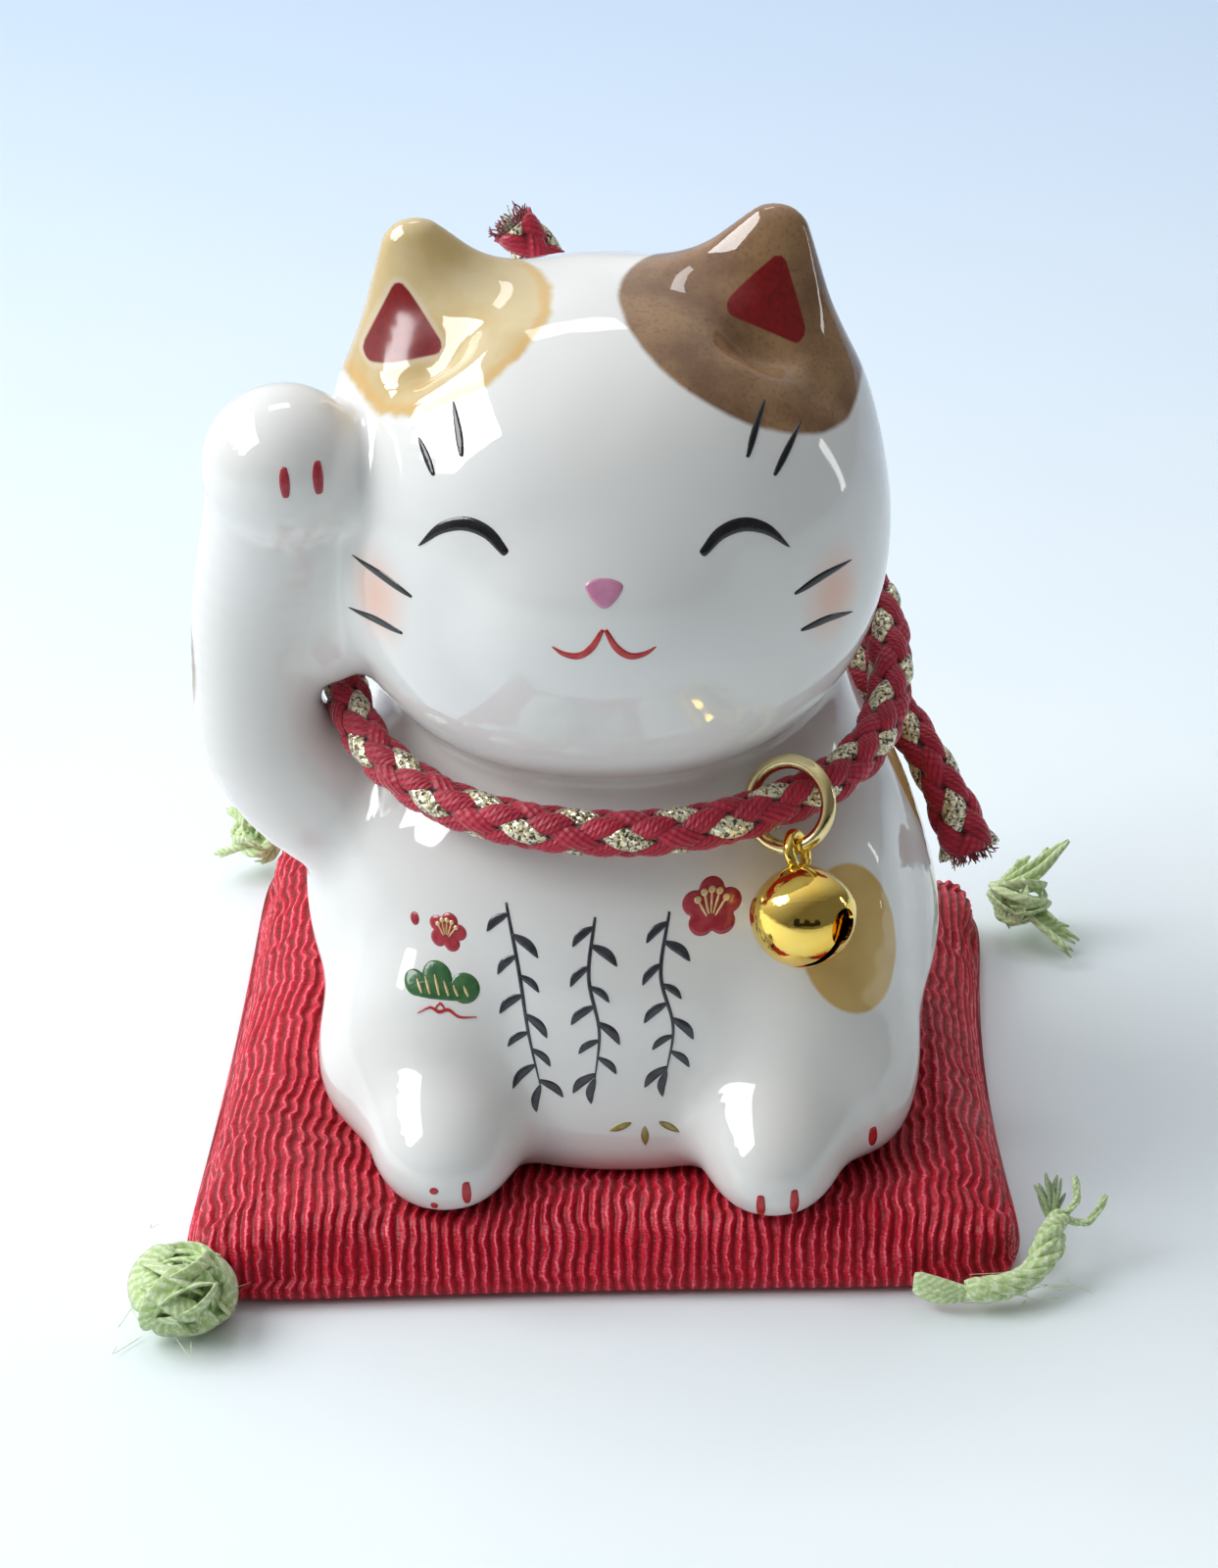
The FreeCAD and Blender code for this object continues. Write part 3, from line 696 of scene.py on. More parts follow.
def make_drawing(paints):
    black, red, cream, green, olive, pink, charcoal, muted = (Drawing() for _ in range(8))
    for s in (-1, 1):
        inner, outer = (8.9, 73.6), (16.9, 72.6)
        eye = [inner, (10.6, 75.1), (12.7, 75.5), (14.9, 74.6), outer]
        black.stroke([(s * x, z) for x, z in eye], 1.42, (0.62, 0.06), 0.36)
    for line in (((-16.9, 81.3), (-16.2, 80.2), (-15.5, 78.9)), ((-13.7, 84.5), (-13.2, 82.6), (-12.9, 80.9)),
                 ((14.6, 84.5), (13.7, 82.7), (13.0, 80.9)), ((18.0, 82.2), (16.7, 80.6), (15.5, 79.0))):
        black.stroke(line, 0.78, (0.2, 0.5), 0.6)
    for line in (((-23.4, 68.9), (-20.6, 68.5), (-17.7, 67.5)), ((-24.0, 62.9), (-21.4, 63.5), (-18.7, 63.3)),
                 ((22.9, 69.0), (20.2, 68.8), (17.5, 68.0)), ((23.2, 63.4), (20.8, 64.1), (18.2, 64.0))):
        black.stroke(line, 0.88, (0.06, 0.35), 0.62)
    for s in (-1, 1):
        red.stroke([(s * 4.7, 65.75), (s * 3.6, 65.1), (s * 2.3, 65.0), (s * 1.1, 65.9), (s * 0.15, 67.6)],
                   0.8, (0.12, 0.5), 0.6)
    nose = [(-1.75, 71.6), (-0.9, 72.1), (0.0, 72.2), (0.9, 72.1), (1.75, 71.6), (1.5, 70.8), (0.75, 69.9),
            (0.0, 69.55), (-0.75, 69.9), (-1.5, 70.8)]
    pink.pad(smooth_line(nose, 40, closed=True), (0.0, 71.0))
    for x, top, low in ((-29.2, 79.0, 76.4), (-26.2, 79.2, 76.4)):
        muted.stroke([(x, top), (x + 0.15, low)], 1.05, (0.6, 0.6))
    for x, top, low in ((-16.3, 11.6, 11.0), (-13.2, 12.0, 9.4), (14.9, 11.2, 8.2), (18.1, 11.7, 8.7),
                        (26.0, 13.6, 11.2)):
        red.stroke([(x, top), (x + 0.1, low)], 0.98, (0.7, 0.5))
    red.stroke([(-16.3, 9.6), (-16.25, 8.9)], 0.8, (0.7, 0.7))
    blossom(muted, cream, 10.3, 34.7, 3.05, math.radians(90))
    blossom(muted, cream, -15.1, 31.6, 1.95, math.radians(78))
    muted.pad(circle(-18.3, 32.0, 0.45, 0.6, 14))
    # pine cloud of three lobes on a flat foot, gold needles and a wavy red stem
    for x, z, r in ((-18.2, 27.0, 1.15), (-16.1, 27.7, 1.5), (-13.4, 27.0, 1.5)):
        green.pad(circle(x, z, r, r * 0.92, 26))
    pine_foot = [(-18.6, 26.1), (-15.6, 25.9), (-12.6, 26.0), (-12.8, 27.2), (-15.6, 27.6), (-18.3, 27.2)]
    green.pad(smooth_line(pine_foot, 30, closed=True), rise=1.02)
    for x, top in ((-18.0, 27.3), (-17.2, 27.6), (-16.3, 27.9), (-15.4, 27.5), (-14.5, 27.2), (-13.5, 27.2)):
        cream.stroke([(x, top), (x + 0.45, 26.3)], 0.34, (0.3, 0.6), rise=2.2)
    stem = [(-18.0, 24.6), (-16.8, 25.2), (-15.9, 24.9), (-15.0, 25.1), (-13.9, 24.5), (-12.3, 24.5)]
    red.stroke(stem, 0.36, (0.2, 0.2))
    red.stroke([(-16.4, 25.0), (-15.8, 25.6), (-15.2, 25.0)], 0.26, (0.3, 0.3))
    for x, z, turn in ((2.6, 13.9, 205), (3.9, 13.5, 272), (5.3, 14.0, 330)):
        a = math.radians(turn)
        middle = (x + 1.2 * math.cos(a), z + 1.2 * math.sin(a))
        tip = (x + 2.3 * math.cos(a), z + 2.2 * math.sin(a))
        olive.stroke([(x, z), middle, tip], 0.85, (0.15, 0.08), 0.45)
    # three hanging willow twigs
    for points, leaves in ((((-9.4, 35.0), (-8.2, 29.0), (-7.3, 23.0), (-6.2, 17.6)), 10),
                           (((-0.9, 34.2), (-1.5, 28.8), (-0.5, 23.6), (-0.9, 18.6)), 9),
                           (((6.2, 34.6), (5.4, 29.0), (6.6, 24.0), (6.0, 19.4)), 9)):
        branch(charcoal, points, leaves, 2.75)
    for name, drawing in (("black_lines", black), ("red_lines", red), ("cream_lines", cream),
                          ("green_pine", green), ("olive_leaves", olive), ("pink_nose", pink),
                          ("charcoal_leaves", charcoal), ("red_blossoms", muted)):
        drawing.build(name, paints[name])


# ---------------------------------------------------------------- the braided collar

# from the upper tail's cut end, through a half knot, round the neck, and out as the side tail (mm)
CORD_ROUTE = (
    (-9.4, 28.2, 84.4), (-3.2, 27.8, 77.4), (2.0, 27.2, 70.5), (4.6, 27.8, 64.2), (4.4, 29.6, 58.6),
    (5.4, 28.8, 53.4), (9.6, 25.2, 51.6), (13.6, 22.6, 54.2), (18.8, 19.6, 56.0), (25.0, 12.0, 55.4),
    (28.2, 2.0, 52.4), (28.2, -7.6, 48.0), (24.2, -16.4, 45.4), (15.6, -22.9, 44.2), (5.4, -26.0, 43.3),
    (-5.8, -25.4, 43.5), (-15.6, -21.6, 44.3), (-22.9, -14.2, 46.4), (-26.0, -4.8, 49.2), (-25.4, 5.4, 52.0),
    (-20.6, 14.4, 54.2), (-12.4, 21.0, 55.3), (-3.6, 24.4, 55.6), (3.6, 24.4, 56.0), (9.6, 25.8, 58.2),
    (13.6, 28.4, 56.6), (13.6, 28.8, 51.8), (16.4, 25.4, 47.4), (21.6, 20.4, 44.2), (27.0, 14.0, 41.2),
    (32.0, 7.8, 36.4), (35.4, 3.8, 31.2), (37.4, 1.4, 26.4))
BRAID_PITCH = 19.0
BRAID_CORE = 1.5
BRAID_WEAVE = 0.27
STRAND_HALF_THICK = 0.56
CORE_RADIUS = 1.5
STRANDS_EACH_WAY = 4
STRAND_THREADS = 5


def cord_line():
    """The cord's centre line, every half millimetre, read from its NURBS curve."""
    curve = bpy.data.curves.new("cord_line", "CURVE")
    curve.dimensions = "3D"
    spline = curve.splines.new("NURBS")
    spline.points.add(len(CORD_ROUTE) - 1)
    for point, spot in zip(spline.points, CORD_ROUTE):
        point.co = (*(c * MM for c in spot), 1.0)
    spline.order_u = 3
    spline.use_endpoint_u = True
    spline.resolution_u = 24
    holder = bpy.data.objects.new("cord_line", curve)
    mesh = bpy.data.meshes.new_from_object(holder)
    line = np.array([v.co[:] for v in mesh.vertices]) / MM
    bpy.data.meshes.remove(mesh)
    bpy.data.objects.remove(holder)
    bpy.data.curves.remove(curve)
    lengths = np.concatenate([[0], np.cumsum(np.linalg.norm(np.diff(line, axis=0), axis=1))])
    even = np.linspace(0, lengths[-1], int(lengths[-1] / (0.5)) + 1)
    return np.stack([np.interp(even, lengths, line[:, k]) for k in range(3)], 1), even


def collar_paint():
    p = Paint("braided_cord", Roughness=0.55, IOR=1.45)
    across, along, gold = p.value("across"), p.value("along"), p.value("gold")
    thread = p.math("ABSOLUTE", p.math("SINE", p.math("MULTIPLY", across, math.pi * STRAND_THREADS / 2)))
    ply = p.math("SINE", p.math("ADD", p.math("MULTIPLY", along, 11.0), p.math("MULTIPLY", across, 9.0)))
    fuzz = p.noise(3.2 * PER_MM, 3.0)
    # painted shade: the strands are painted darker in the grooves between their threads and lighter along the
    # threads' middles, mixed with random fuzz
    light = p.math("ADD", p.math("MULTIPLY", thread, 0.5), p.math("MULTIPLY", fuzz, 0.7))
    red = p.mix(p.scaled(light, 0.3, 1.0), rgb(132, 4, 30), rgb(204, 28, 62))
    red = p.mix(p.scaled(p.noise(0.3 * PER_MM, 2.0), 0.4, 0.7, 0.0, 0.5), red, rgb(214, 40, 70))
    # painted shade and glints on the gold foil: darker where its crinkles dip, with the same noise as the bump
    # below, lighter on their tops, and near-white specks
    fleck = p.noise(2.3 * PER_MM, 1.0)
    foil_shade_and_glints = p.mix(p.scaled(fleck, 0.42, 0.56), rgb(84, 70, 44), rgb(240, 226, 178))
    foil_shade_and_glints = p.mix(p.scaled(p.noise(3.9 * PER_MM, 0.0), 0.5, 0.62), foil_shade_and_glints, rgb(255, 250, 228))
    color = p.mix(gold, red, foil_shade_and_glints)
    # painted shade: where a strand sinks low between its neighbours, and on the core seen between the strands, the
    # red is painted near-black
    deep = p.scaled(p.value("depth"), 0.0, 0.55, smooth=True)
    p.color(p.mix(deep, rgb(58, 2, 12), color))
    p.set(p.shader, {"Metallic": p.math("MULTIPLY", gold, 0.55),
                     "Roughness": p.scaled(gold, 0.0, 1.0, 0.55, 0.28)})
    p.shader.inputs["Sheen Weight"].default_value = 0.35
    p.shader.inputs["Sheen Roughness"].default_value = 0.4
    height = p.math("ADD", p.math("MULTIPLY", thread, 0.6), p.math("MULTIPLY", ply, 0.18))
    height = p.math("ADD", height, p.math("MULTIPLY", fleck, p.math("MULTIPLY", gold, 1.6)))
    p.bump(height, 0.16, 0.9)
    return p.material


def make_collar(material):
    line, even = cord_line()
    _, side, up = frames_along(line)
    total = even[-1]
    turn = 2 * math.pi / BRAID_PITCH * even
    # cut ends spread a little, the side tail's more
    spread = (1 + 0.16 * np.clip(1 - even / 6.0, 0, 1) ** 2
              + 0.42 * np.clip(1 - (total - even) / 12.0, 0, 1) ** 2)
    around = 20
    verts, faces, across, along, gold, depth = [], [], [], [], [], []
    theta = np.linspace(0, 2 * math.pi, around, endpoint=False)
    u, lift = np.cos(theta), np.sin(theta)
    half_angle = math.pi / STRANDS_EACH_WAY
    for way in (1, -1):
        for k in range(STRANDS_EACH_WAY):
            phase = k * 2 * half_angle + (half_angle if way < 0 else 0)
            angle = phase + way * turn[:, None] + u * half_angle * 1.04
            other = angle + way * turn[:, None]
            sign = 1 if k % 2 else -1
            swell = np.cos(2 * (other - half_angle * (1 if way > 0 else 0)))
            weave = BRAID_WEAVE * sign * swell * (1 if way > 0 else -1)
            ribbing = 0.05 * np.abs(np.sin(u * math.pi * STRAND_THREADS / 2)) * (lift > 0.15)
            thick = STRAND_HALF_THICK * np.sign(lift) * np.abs(lift) ** 0.75
            radius = BRAID_CORE + weave + thick + ribbing - 0.14 * u ** 2
            radius = radius * spread[:, None]
            start = len(verts) * len(line) * around
            out = np.cos(angle)[..., None] * side[:, None] + np.sin(angle)[..., None] * up[:, None]
            ring = line[:, None] + radius[..., None] * out
            verts.append(ring.reshape(-1, 3))
            faces += tube_faces(len(line), around, True, start)
            across.append(np.tile(u, len(line)))
            along.append(np.repeat(even, around))
            gold.append(np.full(len(line) * around, float(way > 0 and k % 2 == 0)))
            # each strand's height above the core, which the material turns into painted shade where it is low
            depth.append(((radius / spread[:, None]) - BRAID_CORE - 0.05).reshape(-1))
    start = len(verts) * len(line) * around
    ring = np.cos(theta)[None, :, None] * side[:, None] + np.sin(theta)[None, :, None] * up[:, None]
    verts.append((line[:, None] + CORE_RADIUS * spread[:, None, None] * ring).reshape(-1, 3))
    faces += tube_faces(len(line), around, True, start)
    across.append(np.tile(u, len(line)))
    along.append(np.repeat(even, around))
    gold.append(np.zeros(len(line) * around))
    # the core lies low, so the material paints it near-black as painted shade
    depth.append(np.full(len(line) * around, 0.1))
    obj = mesh_object("collar_braid", np.concatenate(verts), faces, material, "cat")
    for name, values in (("across", across), ("along", along), ("gold", gold), ("depth", depth)):
        attribute(obj, name, np.concatenate(values))
    fray = make_fray(line, side, up, spread, material)
    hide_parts("collar_loop", "collar_knot", "collar_tail_upper", "collar_tail_side")
    return obj


def make_fray(line, side, up, spread, material):
    """Loose thread ends at both cut ends."""
    lines, kinds = [], []
    for end, inward in ((0, 1), (-1, -2)):
        out = unit(line[end] - line[inward])
        for _ in range(90):
            a, r = rng.uniform(0, 2 * math.pi), (1.9 * spread[end]) * math.sqrt(rng.uniform(0, 1))
            radial = math.cos(a) * side[end] + math.sin(a) * up[end]
            root = line[end] + radial * r - out * 0.6
            length = rng.uniform(0.8, 2.0)
            lean = unit(out + radial * rng.uniform(0.0, 0.5) + rng.normal(0, 0.12, 3))
            tip = root + lean * length + rng.normal(0, 0.1, 3)
            lines.append(([root, root + out * length * 0.6, tip], 0.16, 0.16))
            kinds.append(1.0 if abs(math.cos(a)) > 0.93 else 0.0)
    return yarn("collar_fray", lines, material, "cat", kinds)


def yarn(name, lines, material, body, kinds=None, around=6):
    """Threads, each a line of points with a width and a thickness, as one mesh."""
    verts, faces, across, along, gold = [], [], [], [], []
    count = 0
    theta = np.linspace(0, 2 * math.pi, around, endpoint=False)
    for k, (points, wide, thick) in enumerate(lines):
        line = smooth_line(points, 3 * len(points) + 3)
        tangent, side, up = frames_along(line)
        t = np.linspace(0, 1, len(line))
        taper = np.clip(np.minimum(t * 6 + 0.5, (1 - t) * 5 + 0.35), 0, 1)
        roll = rng.uniform(0, math.pi) + t * rng.uniform(-1.5, 1.5)
        a = side * np.cos(roll)[:, None] + up * np.sin(roll)[:, None]
        b = np.cross(tangent, a)
        ring = (line[:, None] + taper[:, None, None] * (0.5 * wide * np.cos(theta)[None, :, None] * a[:, None]
                + 0.5 * thick * np.sin(theta)[None, :, None] * b[:, None]))
        verts.append(ring.reshape(-1, 3))
        faces += tube_faces(len(line), around, True, count)
        count += len(line) * around
        across.append(np.tile(np.cos(theta), len(line)))
        along.append(np.repeat(t * 5 + k * 7, around))
        gold.append(np.full(len(line) * around, 0.0 if kinds is None else kinds[k]))
    verts = np.concatenate(verts)
    verts[:, 2] = np.maximum(verts[:, 2], 0.05)
    obj = mesh_object(name, verts, faces, material, body)
    attribute(obj, "across", np.concatenate(across))
    attribute(obj, "along", np.concatenate(along))
    attribute(obj, "gold", np.concatenate(gold))
    # set high, so these threads get almost none of the collar material's painted shade
    attribute(obj, "depth", np.full(count, 0.5))
    return obj


# ---------------------------------------------------------------- the cushion

CUSHION_CORNERS = np.array([(-41.6, -42.6), (41.6, -39.4), (42.6, 33.0), (-38.4, 44.5)])
CUSHION_SQUARENESS = 12.0
SEAT_Z = 7.5
# how far out from the middle (share of the outline), then height: over the top edge, and under it
TOP_EDGE = np.array([(0.0, 0.0, 7.5), (0.3, 0.3, 7.5), (0.6, 0.6, 7.5), (0.84, 0.85, 7.5),
                     (0.895, 0.925, 7.1), (0.945, 0.975, 5.9), (1.0, 1.0, 2.6)])
LOW_EDGE = np.array([(0.0, 0.0, 0.05), (0.3, 0.3, 0.05), (0.6, 0.6, 0.05), (0.84, 0.9, 0.05),
                     (0.9, 0.955, 0.2), (0.95, 0.985, 0.9), (1.0, 1.0, 2.6)])
SIDE_DRAW = 0.022       # how far every side draws in between its corners, as a share
RIGHT_DRAW = 0.036      # how much further the right side does
RIB_PITCH = 1.17
RIB_HEIGHT = 0.15
SWELL_CAP = 1.6


def value_noise(x, y, scale, seed):
    """Smooth noise from -1 to 1 with bumps about scale wide."""
    lattice = np.random.default_rng(seed).uniform(-1, 1, (64, 64))
    x, y = x / scale + 1000.5, y / scale + 1000.5
    i, j = np.floor(x).astype(int), np.floor(y).astype(int)
    u, v = x - i, y - j
    u, v = u * u * (3 - 2 * u), v * v * (3 - 2 * v)
    a, b = lattice[i % 64, j % 64], lattice[(i + 1) % 64, j % 64]
    c, d = lattice[i % 64, (j + 1) % 64], lattice[(i + 1) % 64, (j + 1) % 64]
    return (a + (b - a) * u) * (1 - v) + (c + (d - c) * u) * v


def pillow_sheet(u, v, edge):
    """Points of the cushion's upper or lower sheet at u, v from -1 to 1."""
    m = np.maximum(np.maximum(np.abs(u), np.abs(v)), 1e-6)
    a, b = np.where(m > 1e-5, u / m, 1.0), v / m
    n = CUSHION_SQUARENESS
    rounding = 1 / (np.abs(a) ** n + np.abs(b) ** n) ** (1 / n)
    rows = smooth_rows(edge, m)
    share, z = rows[..., 0] * (1 + (rounding - 1) * m ** 2), rows[..., 1]
    # the sides draw in between the corners
    draw = SIDE_DRAW + RIGHT_DRAW * np.clip(a, 0, 1) ** 8
    share = share * (1 - draw * m ** 3 * (1 - (a * b) ** 2))
    s, t = (a * share + 1) / 2, (b * share + 1) / 2
    fl, fr, br, bl = CUSHION_CORNERS
    front = ((1 - s) * (1 - t))[..., None] * fl + (s * (1 - t))[..., None] * fr
    xy = front + (s * t)[..., None] * br + ((1 - s) * t)[..., None] * bl
    return np.concatenate([xy, z[..., None]], -1)


def grid_faces(nu, nv, ids, flip):
    faces = []
    for i in range(nu - 1):
        for j in range(nv - 1):
            q = (ids[i, j], ids[i + 1, j], ids[i + 1, j + 1], ids[i, j + 1])
            faces.append(q[::-1] if flip else q)
    return faces


def two_sheets(nu, nv):
    """The closed cushion: both sheets' points and faces, sharing their border."""
    u, v = np.meshgrid(np.linspace(-1, 1, nu), np.linspace(-1, 1, nv), indexing="ij")
    top, low = pillow_sheet(u, v, TOP_EDGE), pillow_sheet(u, v, LOW_EDGE)
    top_ids = np.arange(nu * nv).reshape(nu, nv)
    inner = np.zeros((nu, nv), bool)
    inner[1:-1, 1:-1] = True
    low_ids = top_ids.copy()
    low_ids[inner] = nu * nv + np.arange(inner.sum())
    faces = grid_faces(nu, nv, top_ids, False) + grid_faces(nu, nv, low_ids, True)
    return u, v, top, low, inner, faces


def swell(nu=43, nv=43):
    """How far the upper sheet's points move when the cushion is filled: Blender's cloth under pressure."""
    u, v, top, low, inner, faces = two_sheets(nu, nv)
    verts = np.concatenate([top.reshape(-1, 3), low[inner]])
    mesh = bpy.data.meshes.new("swelling")
    mesh.from_pydata((verts * 10 * MM).tolist(), [], [list(map(int, f)) for f in faces])
    obj = bpy.data.objects.new("swelling", mesh)
    bpy.context.scene.collection.objects.link(obj)
    pins = obj.vertex_groups.new(name="pins")
    flat_top = np.maximum(np.abs(u), np.abs(v)).reshape(-1) < 0.42
    held = [int(i) for i in np.nonzero(flat_top)[0]] + list(range(nu * nv, len(verts)))
    pins.add(held, 1.0, "REPLACE")
    cloth = obj.modifiers.new("cloth", "CLOTH")
    cloth.settings.vertex_group_mass = "pins"
    cloth.settings.use_pressure = True
    cloth.settings.uniform_pressure_force = 4.0
    cloth.settings.effector_weights.gravity = 0.0
    cloth.settings.quality = 5
    scene = bpy.context.scene
    for number in range(1, 21):
        scene.frame_set(number)
    result = obj.evaluated_get(bpy.context.evaluated_depsgraph_get()).to_mesh()
    moved = np.empty(len(verts) * 3)
    result.vertices.foreach_get("co", moved)
    moved = moved.reshape(-1, 3) / (10 * MM) - verts
    scene.frame_set(1)
    bpy.data.objects.remove(obj)
    bpy.data.meshes.remove(mesh)
    size = np.linalg.norm(moved, axis=1, keepdims=True)
    moved = moved * np.minimum(1, SWELL_CAP / (size + 1e-9))
    print("cushion swells by", round(float(size.max()), 3), "mm")
    return moved[:nu * nv].reshape(nu, nv, 3)


def enlarge(grid, nu, nv):
    """A coarse grid of vectors read at nu by nv points."""
    i = np.linspace(0, grid.shape[0] - 1, nu)
    j = np.linspace(0, grid.shape[1] - 1, nv)
    old_i, old_j = np.arange(grid.shape[0]), np.arange(grid.shape[1])
    rows = np.stack([[np.interp(i, old_i, grid[:, b, k]) for b in old_j] for k in range(3)], -1)
    return np.stack([[np.interp(j, old_j, rows[:, a, k]) for a in range(nu)] for k in range(3)], -1)


def cushion_paint():
    p = Paint("cushion_satin", Roughness=0.45, IOR=1.3)
    rib = p.value("rib")
    wobble = p.math("MULTIPLY", p.math("SUBTRACT", p.noise(0.6 * PER_MM, 3.0, 0.6), 0.5), 1.05)
    phase = p.math("MULTIPLY", p.math("ADD", rib, wobble), 2 * math.pi / RIB_PITCH)
    wave = p.math("SINE", phase)
    threads = p.noise(1.0 * PER_MM, 1.0, vector=p.stretched((0.8, 5.2, 5.2)))
    tone = p.mix(p.scaled(p.noise(0.08 * PER_MM, 2.0), 0.35, 0.65), rgb(190, 2, 34), rgb(206, 10, 42))
    # painted shade: the rib valleys are painted a deeper red
    color = p.mix(p.scaled(wave, -1.0, 0.1, smooth=True), rgb(134, 0, 20), tone)
    fleck = p.scaled(threads, 0.36, 0.6, 0.3, 1.0)
    # painted highlight: a pink satin sheen along the rib crests, broken up by thread flecks and patches
    crest = p.math("MULTIPLY", p.scaled(wave, 0.74, 0.97, smooth=True), fleck)
    patch = p.scaled(p.noise(0.22 * PER_MM, 2.0), 0.3, 0.55, 0.35, 1.0)
    color = p.mix(p.math("MULTIPLY", crest, patch), color, rgb(250, 118, 138))
    p.color(color)
    p.shader.inputs["Sheen Weight"].default_value = 0.1
    p.shader.inputs["Sheen Roughness"].default_value = 0.35
    height = p.math("ADD", p.math("MULTIPLY", wave, 0.35), p.math("MULTIPLY", threads, 0.5))
    p.bump(height, 0.2, 0.9)
    return p.material


def arc_from_middle(sheet):
    """How far each point lies across the sheet, measured along it from the middle."""
    step = np.linalg.norm(np.diff(sheet, axis=0), axis=2)
    arc = np.concatenate([np.zeros((1, sheet.shape[1])), np.cumsum(step, 0)])
    return arc - arc[len(sheet) // 2]


def make_cushion(material):
    nu, nv = ((433, 151))
    u, v, top, low, inner, faces = two_sheets(nu, nv)
    top = top + enlarge(swell(), nu, nv)
    # hand-stitched, so the sheet is a little uneven, most near its edges
    m = np.maximum(np.abs(u), np.abs(v))
    uneven = value_noise(top[..., 0], top[..., 1], 9.0, 5)
    top[..., 2] += 0.28 * uneven * m ** 2 + 0.5 * (m ** 3) * (1 - m) * 4
    reach_cat = np.maximum(cat(np.stack([top[..., 0], top[..., 1], np.full_like(m, 8.4)], -1)), 0)
    top[..., 2] = np.minimum(top[..., 2], SEAT_Z - 0.3 + 0.35 * reach_cat)
    # the ribs run from front to back, and each wanders a little
    across = top[..., 0] * 0.5
    wander = 0.34 * value_noise(across, top[..., 1], 1.7, 3) + 0.5 * value_noise(across, top[..., 1], 9.0, 4)
    rib = arc_from_middle(top) + wander
    along_u, along_v = np.gradient(top, axis=0), np.gradient(top, axis=1)
    normal = unit(np.cross(along_u, along_v))
    border = 1 - np.clip((m - 0.985) / 0.015, 0, 1)
    top = top + normal * (RIB_HEIGHT * np.sin(rib * 2 * math.pi / RIB_PITCH) * border)[..., None]
    top[..., 2] = np.maximum(top[..., 2], 0.05)
    verts = np.concatenate([top.reshape(-1, 3), low[inner]])
    obj = mesh_object("ribbed_cushion", verts, faces, material, "cushion")
    attribute(obj, "rib", np.concatenate([rib.reshape(-1), arc_from_middle(low)[inner]]))
    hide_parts("cushion_cover", "cushion_filling")
    return obj


# ---------------------------------------------------------------- yarn at the cushion's corners

def yarn_paint():
    p = Paint("green_yarn", Roughness=0.8, IOR=1.4)
    fibre = p.noise(2.6 * PER_MM, 3.0)
    lay = p.math("ADD", p.math("MULTIPLY", p.value("along"), 12.0), p.math("MULTIPLY", p.value("across"), 4.0))
    ply = p.math("SINE", lay)
    tone = p.math("ADD", p.math("MULTIPLY", fibre, 0.8), p.math("MULTIPLY", ply, 0.12))
    color = p.mix(p.scaled(tone, 0.3, 0.62), rgb(186, 212, 140), rgb(236, 247, 212))
    color = p.mix(p.scaled(p.value("gold"), 0.0, 1.0), color, rgb(104, 128, 82))
    p.color(color)
    p.shader.inputs["Sheen Weight"].default_value = 0.5
    p.shader.inputs["Sheen Roughness"].default_value = 0.5
    p.bump(tone, 0.18, 0.8)
    return p.material


def wad(centre, half, loops, wide):
    """Loops of flat yarn wound round a small ball."""
    lines = []
    for _ in range(loops):
        axis = unit(rng.normal(0, 1, 3))
        a = unit(np.cross(axis, rng.normal(0, 1, 3)))
        b = np.cross(axis, a)
        size = rng.uniform(0.5, 0.95)
        off = axis * rng.uniform(-0.55, 0.55)
        span = rng.uniform(1.6, 4.2)
        turn = np.linspace(0, span, 6)
        circle_at = np.cos(turn)[:, None] * a + np.sin(turn)[:, None] * b
        ring = off + size * circle_at * math.sqrt(1 - 0.5 * (off @ off))
        points = np.array(centre) + ring * np.array(half)
        lines.append((points, wide * rng.uniform(0.7, 1.25), 0.42))
    return lines


def splay(root, tips, wide, jitter=0.35):
    """Yarn ends fanning out from one root."""
    root = np.array(root, float)
    lines = []
    for tip in tips:
        tip = np.array(tip, float)
        for _ in range(3):
            middle = (root + tip) / 2 + rng.normal(0, jitter, 3) + (0, 0, 0.4)
            start = root + rng.normal(0, 0.2, 3)
            end = tip + rng.normal(0, jitter, 3)
            lines.append(([start, middle, end], wide, wide * 0.7))
    return lines


def hairs(centre, spread, count):
    """Stray fibres."""
    lines = []
    for _ in range(count):
        start = np.array(centre) + rng.normal(0, 1, 3) * np.array(spread) * 0.6
        bend = start + rng.normal(0, 1, 3) * np.array(spread) * 0.35
        lines.append(([start, bend, bend + rng.normal(0, 1, 3) * np.array(spread) * 0.3], 0.07, 0.07))
    return lines


def rope_of(points, radius, plies=3, turns=3.0, wide=1.0):
    """Yarn plied round a line of points."""
    line = smooth_line(points, 30)
    _, side, up = frames_along(line)
    t = np.linspace(0, 1, len(line))
    lines = []
    for k in range(plies):
        a = 2 * math.pi * (turns * t + k / plies)
        offset = radius * (np.cos(a)[:, None] * side + np.sin(a)[:, None] * up)
        lines.append((line + offset, wide, wide * 0.7))
    return lines


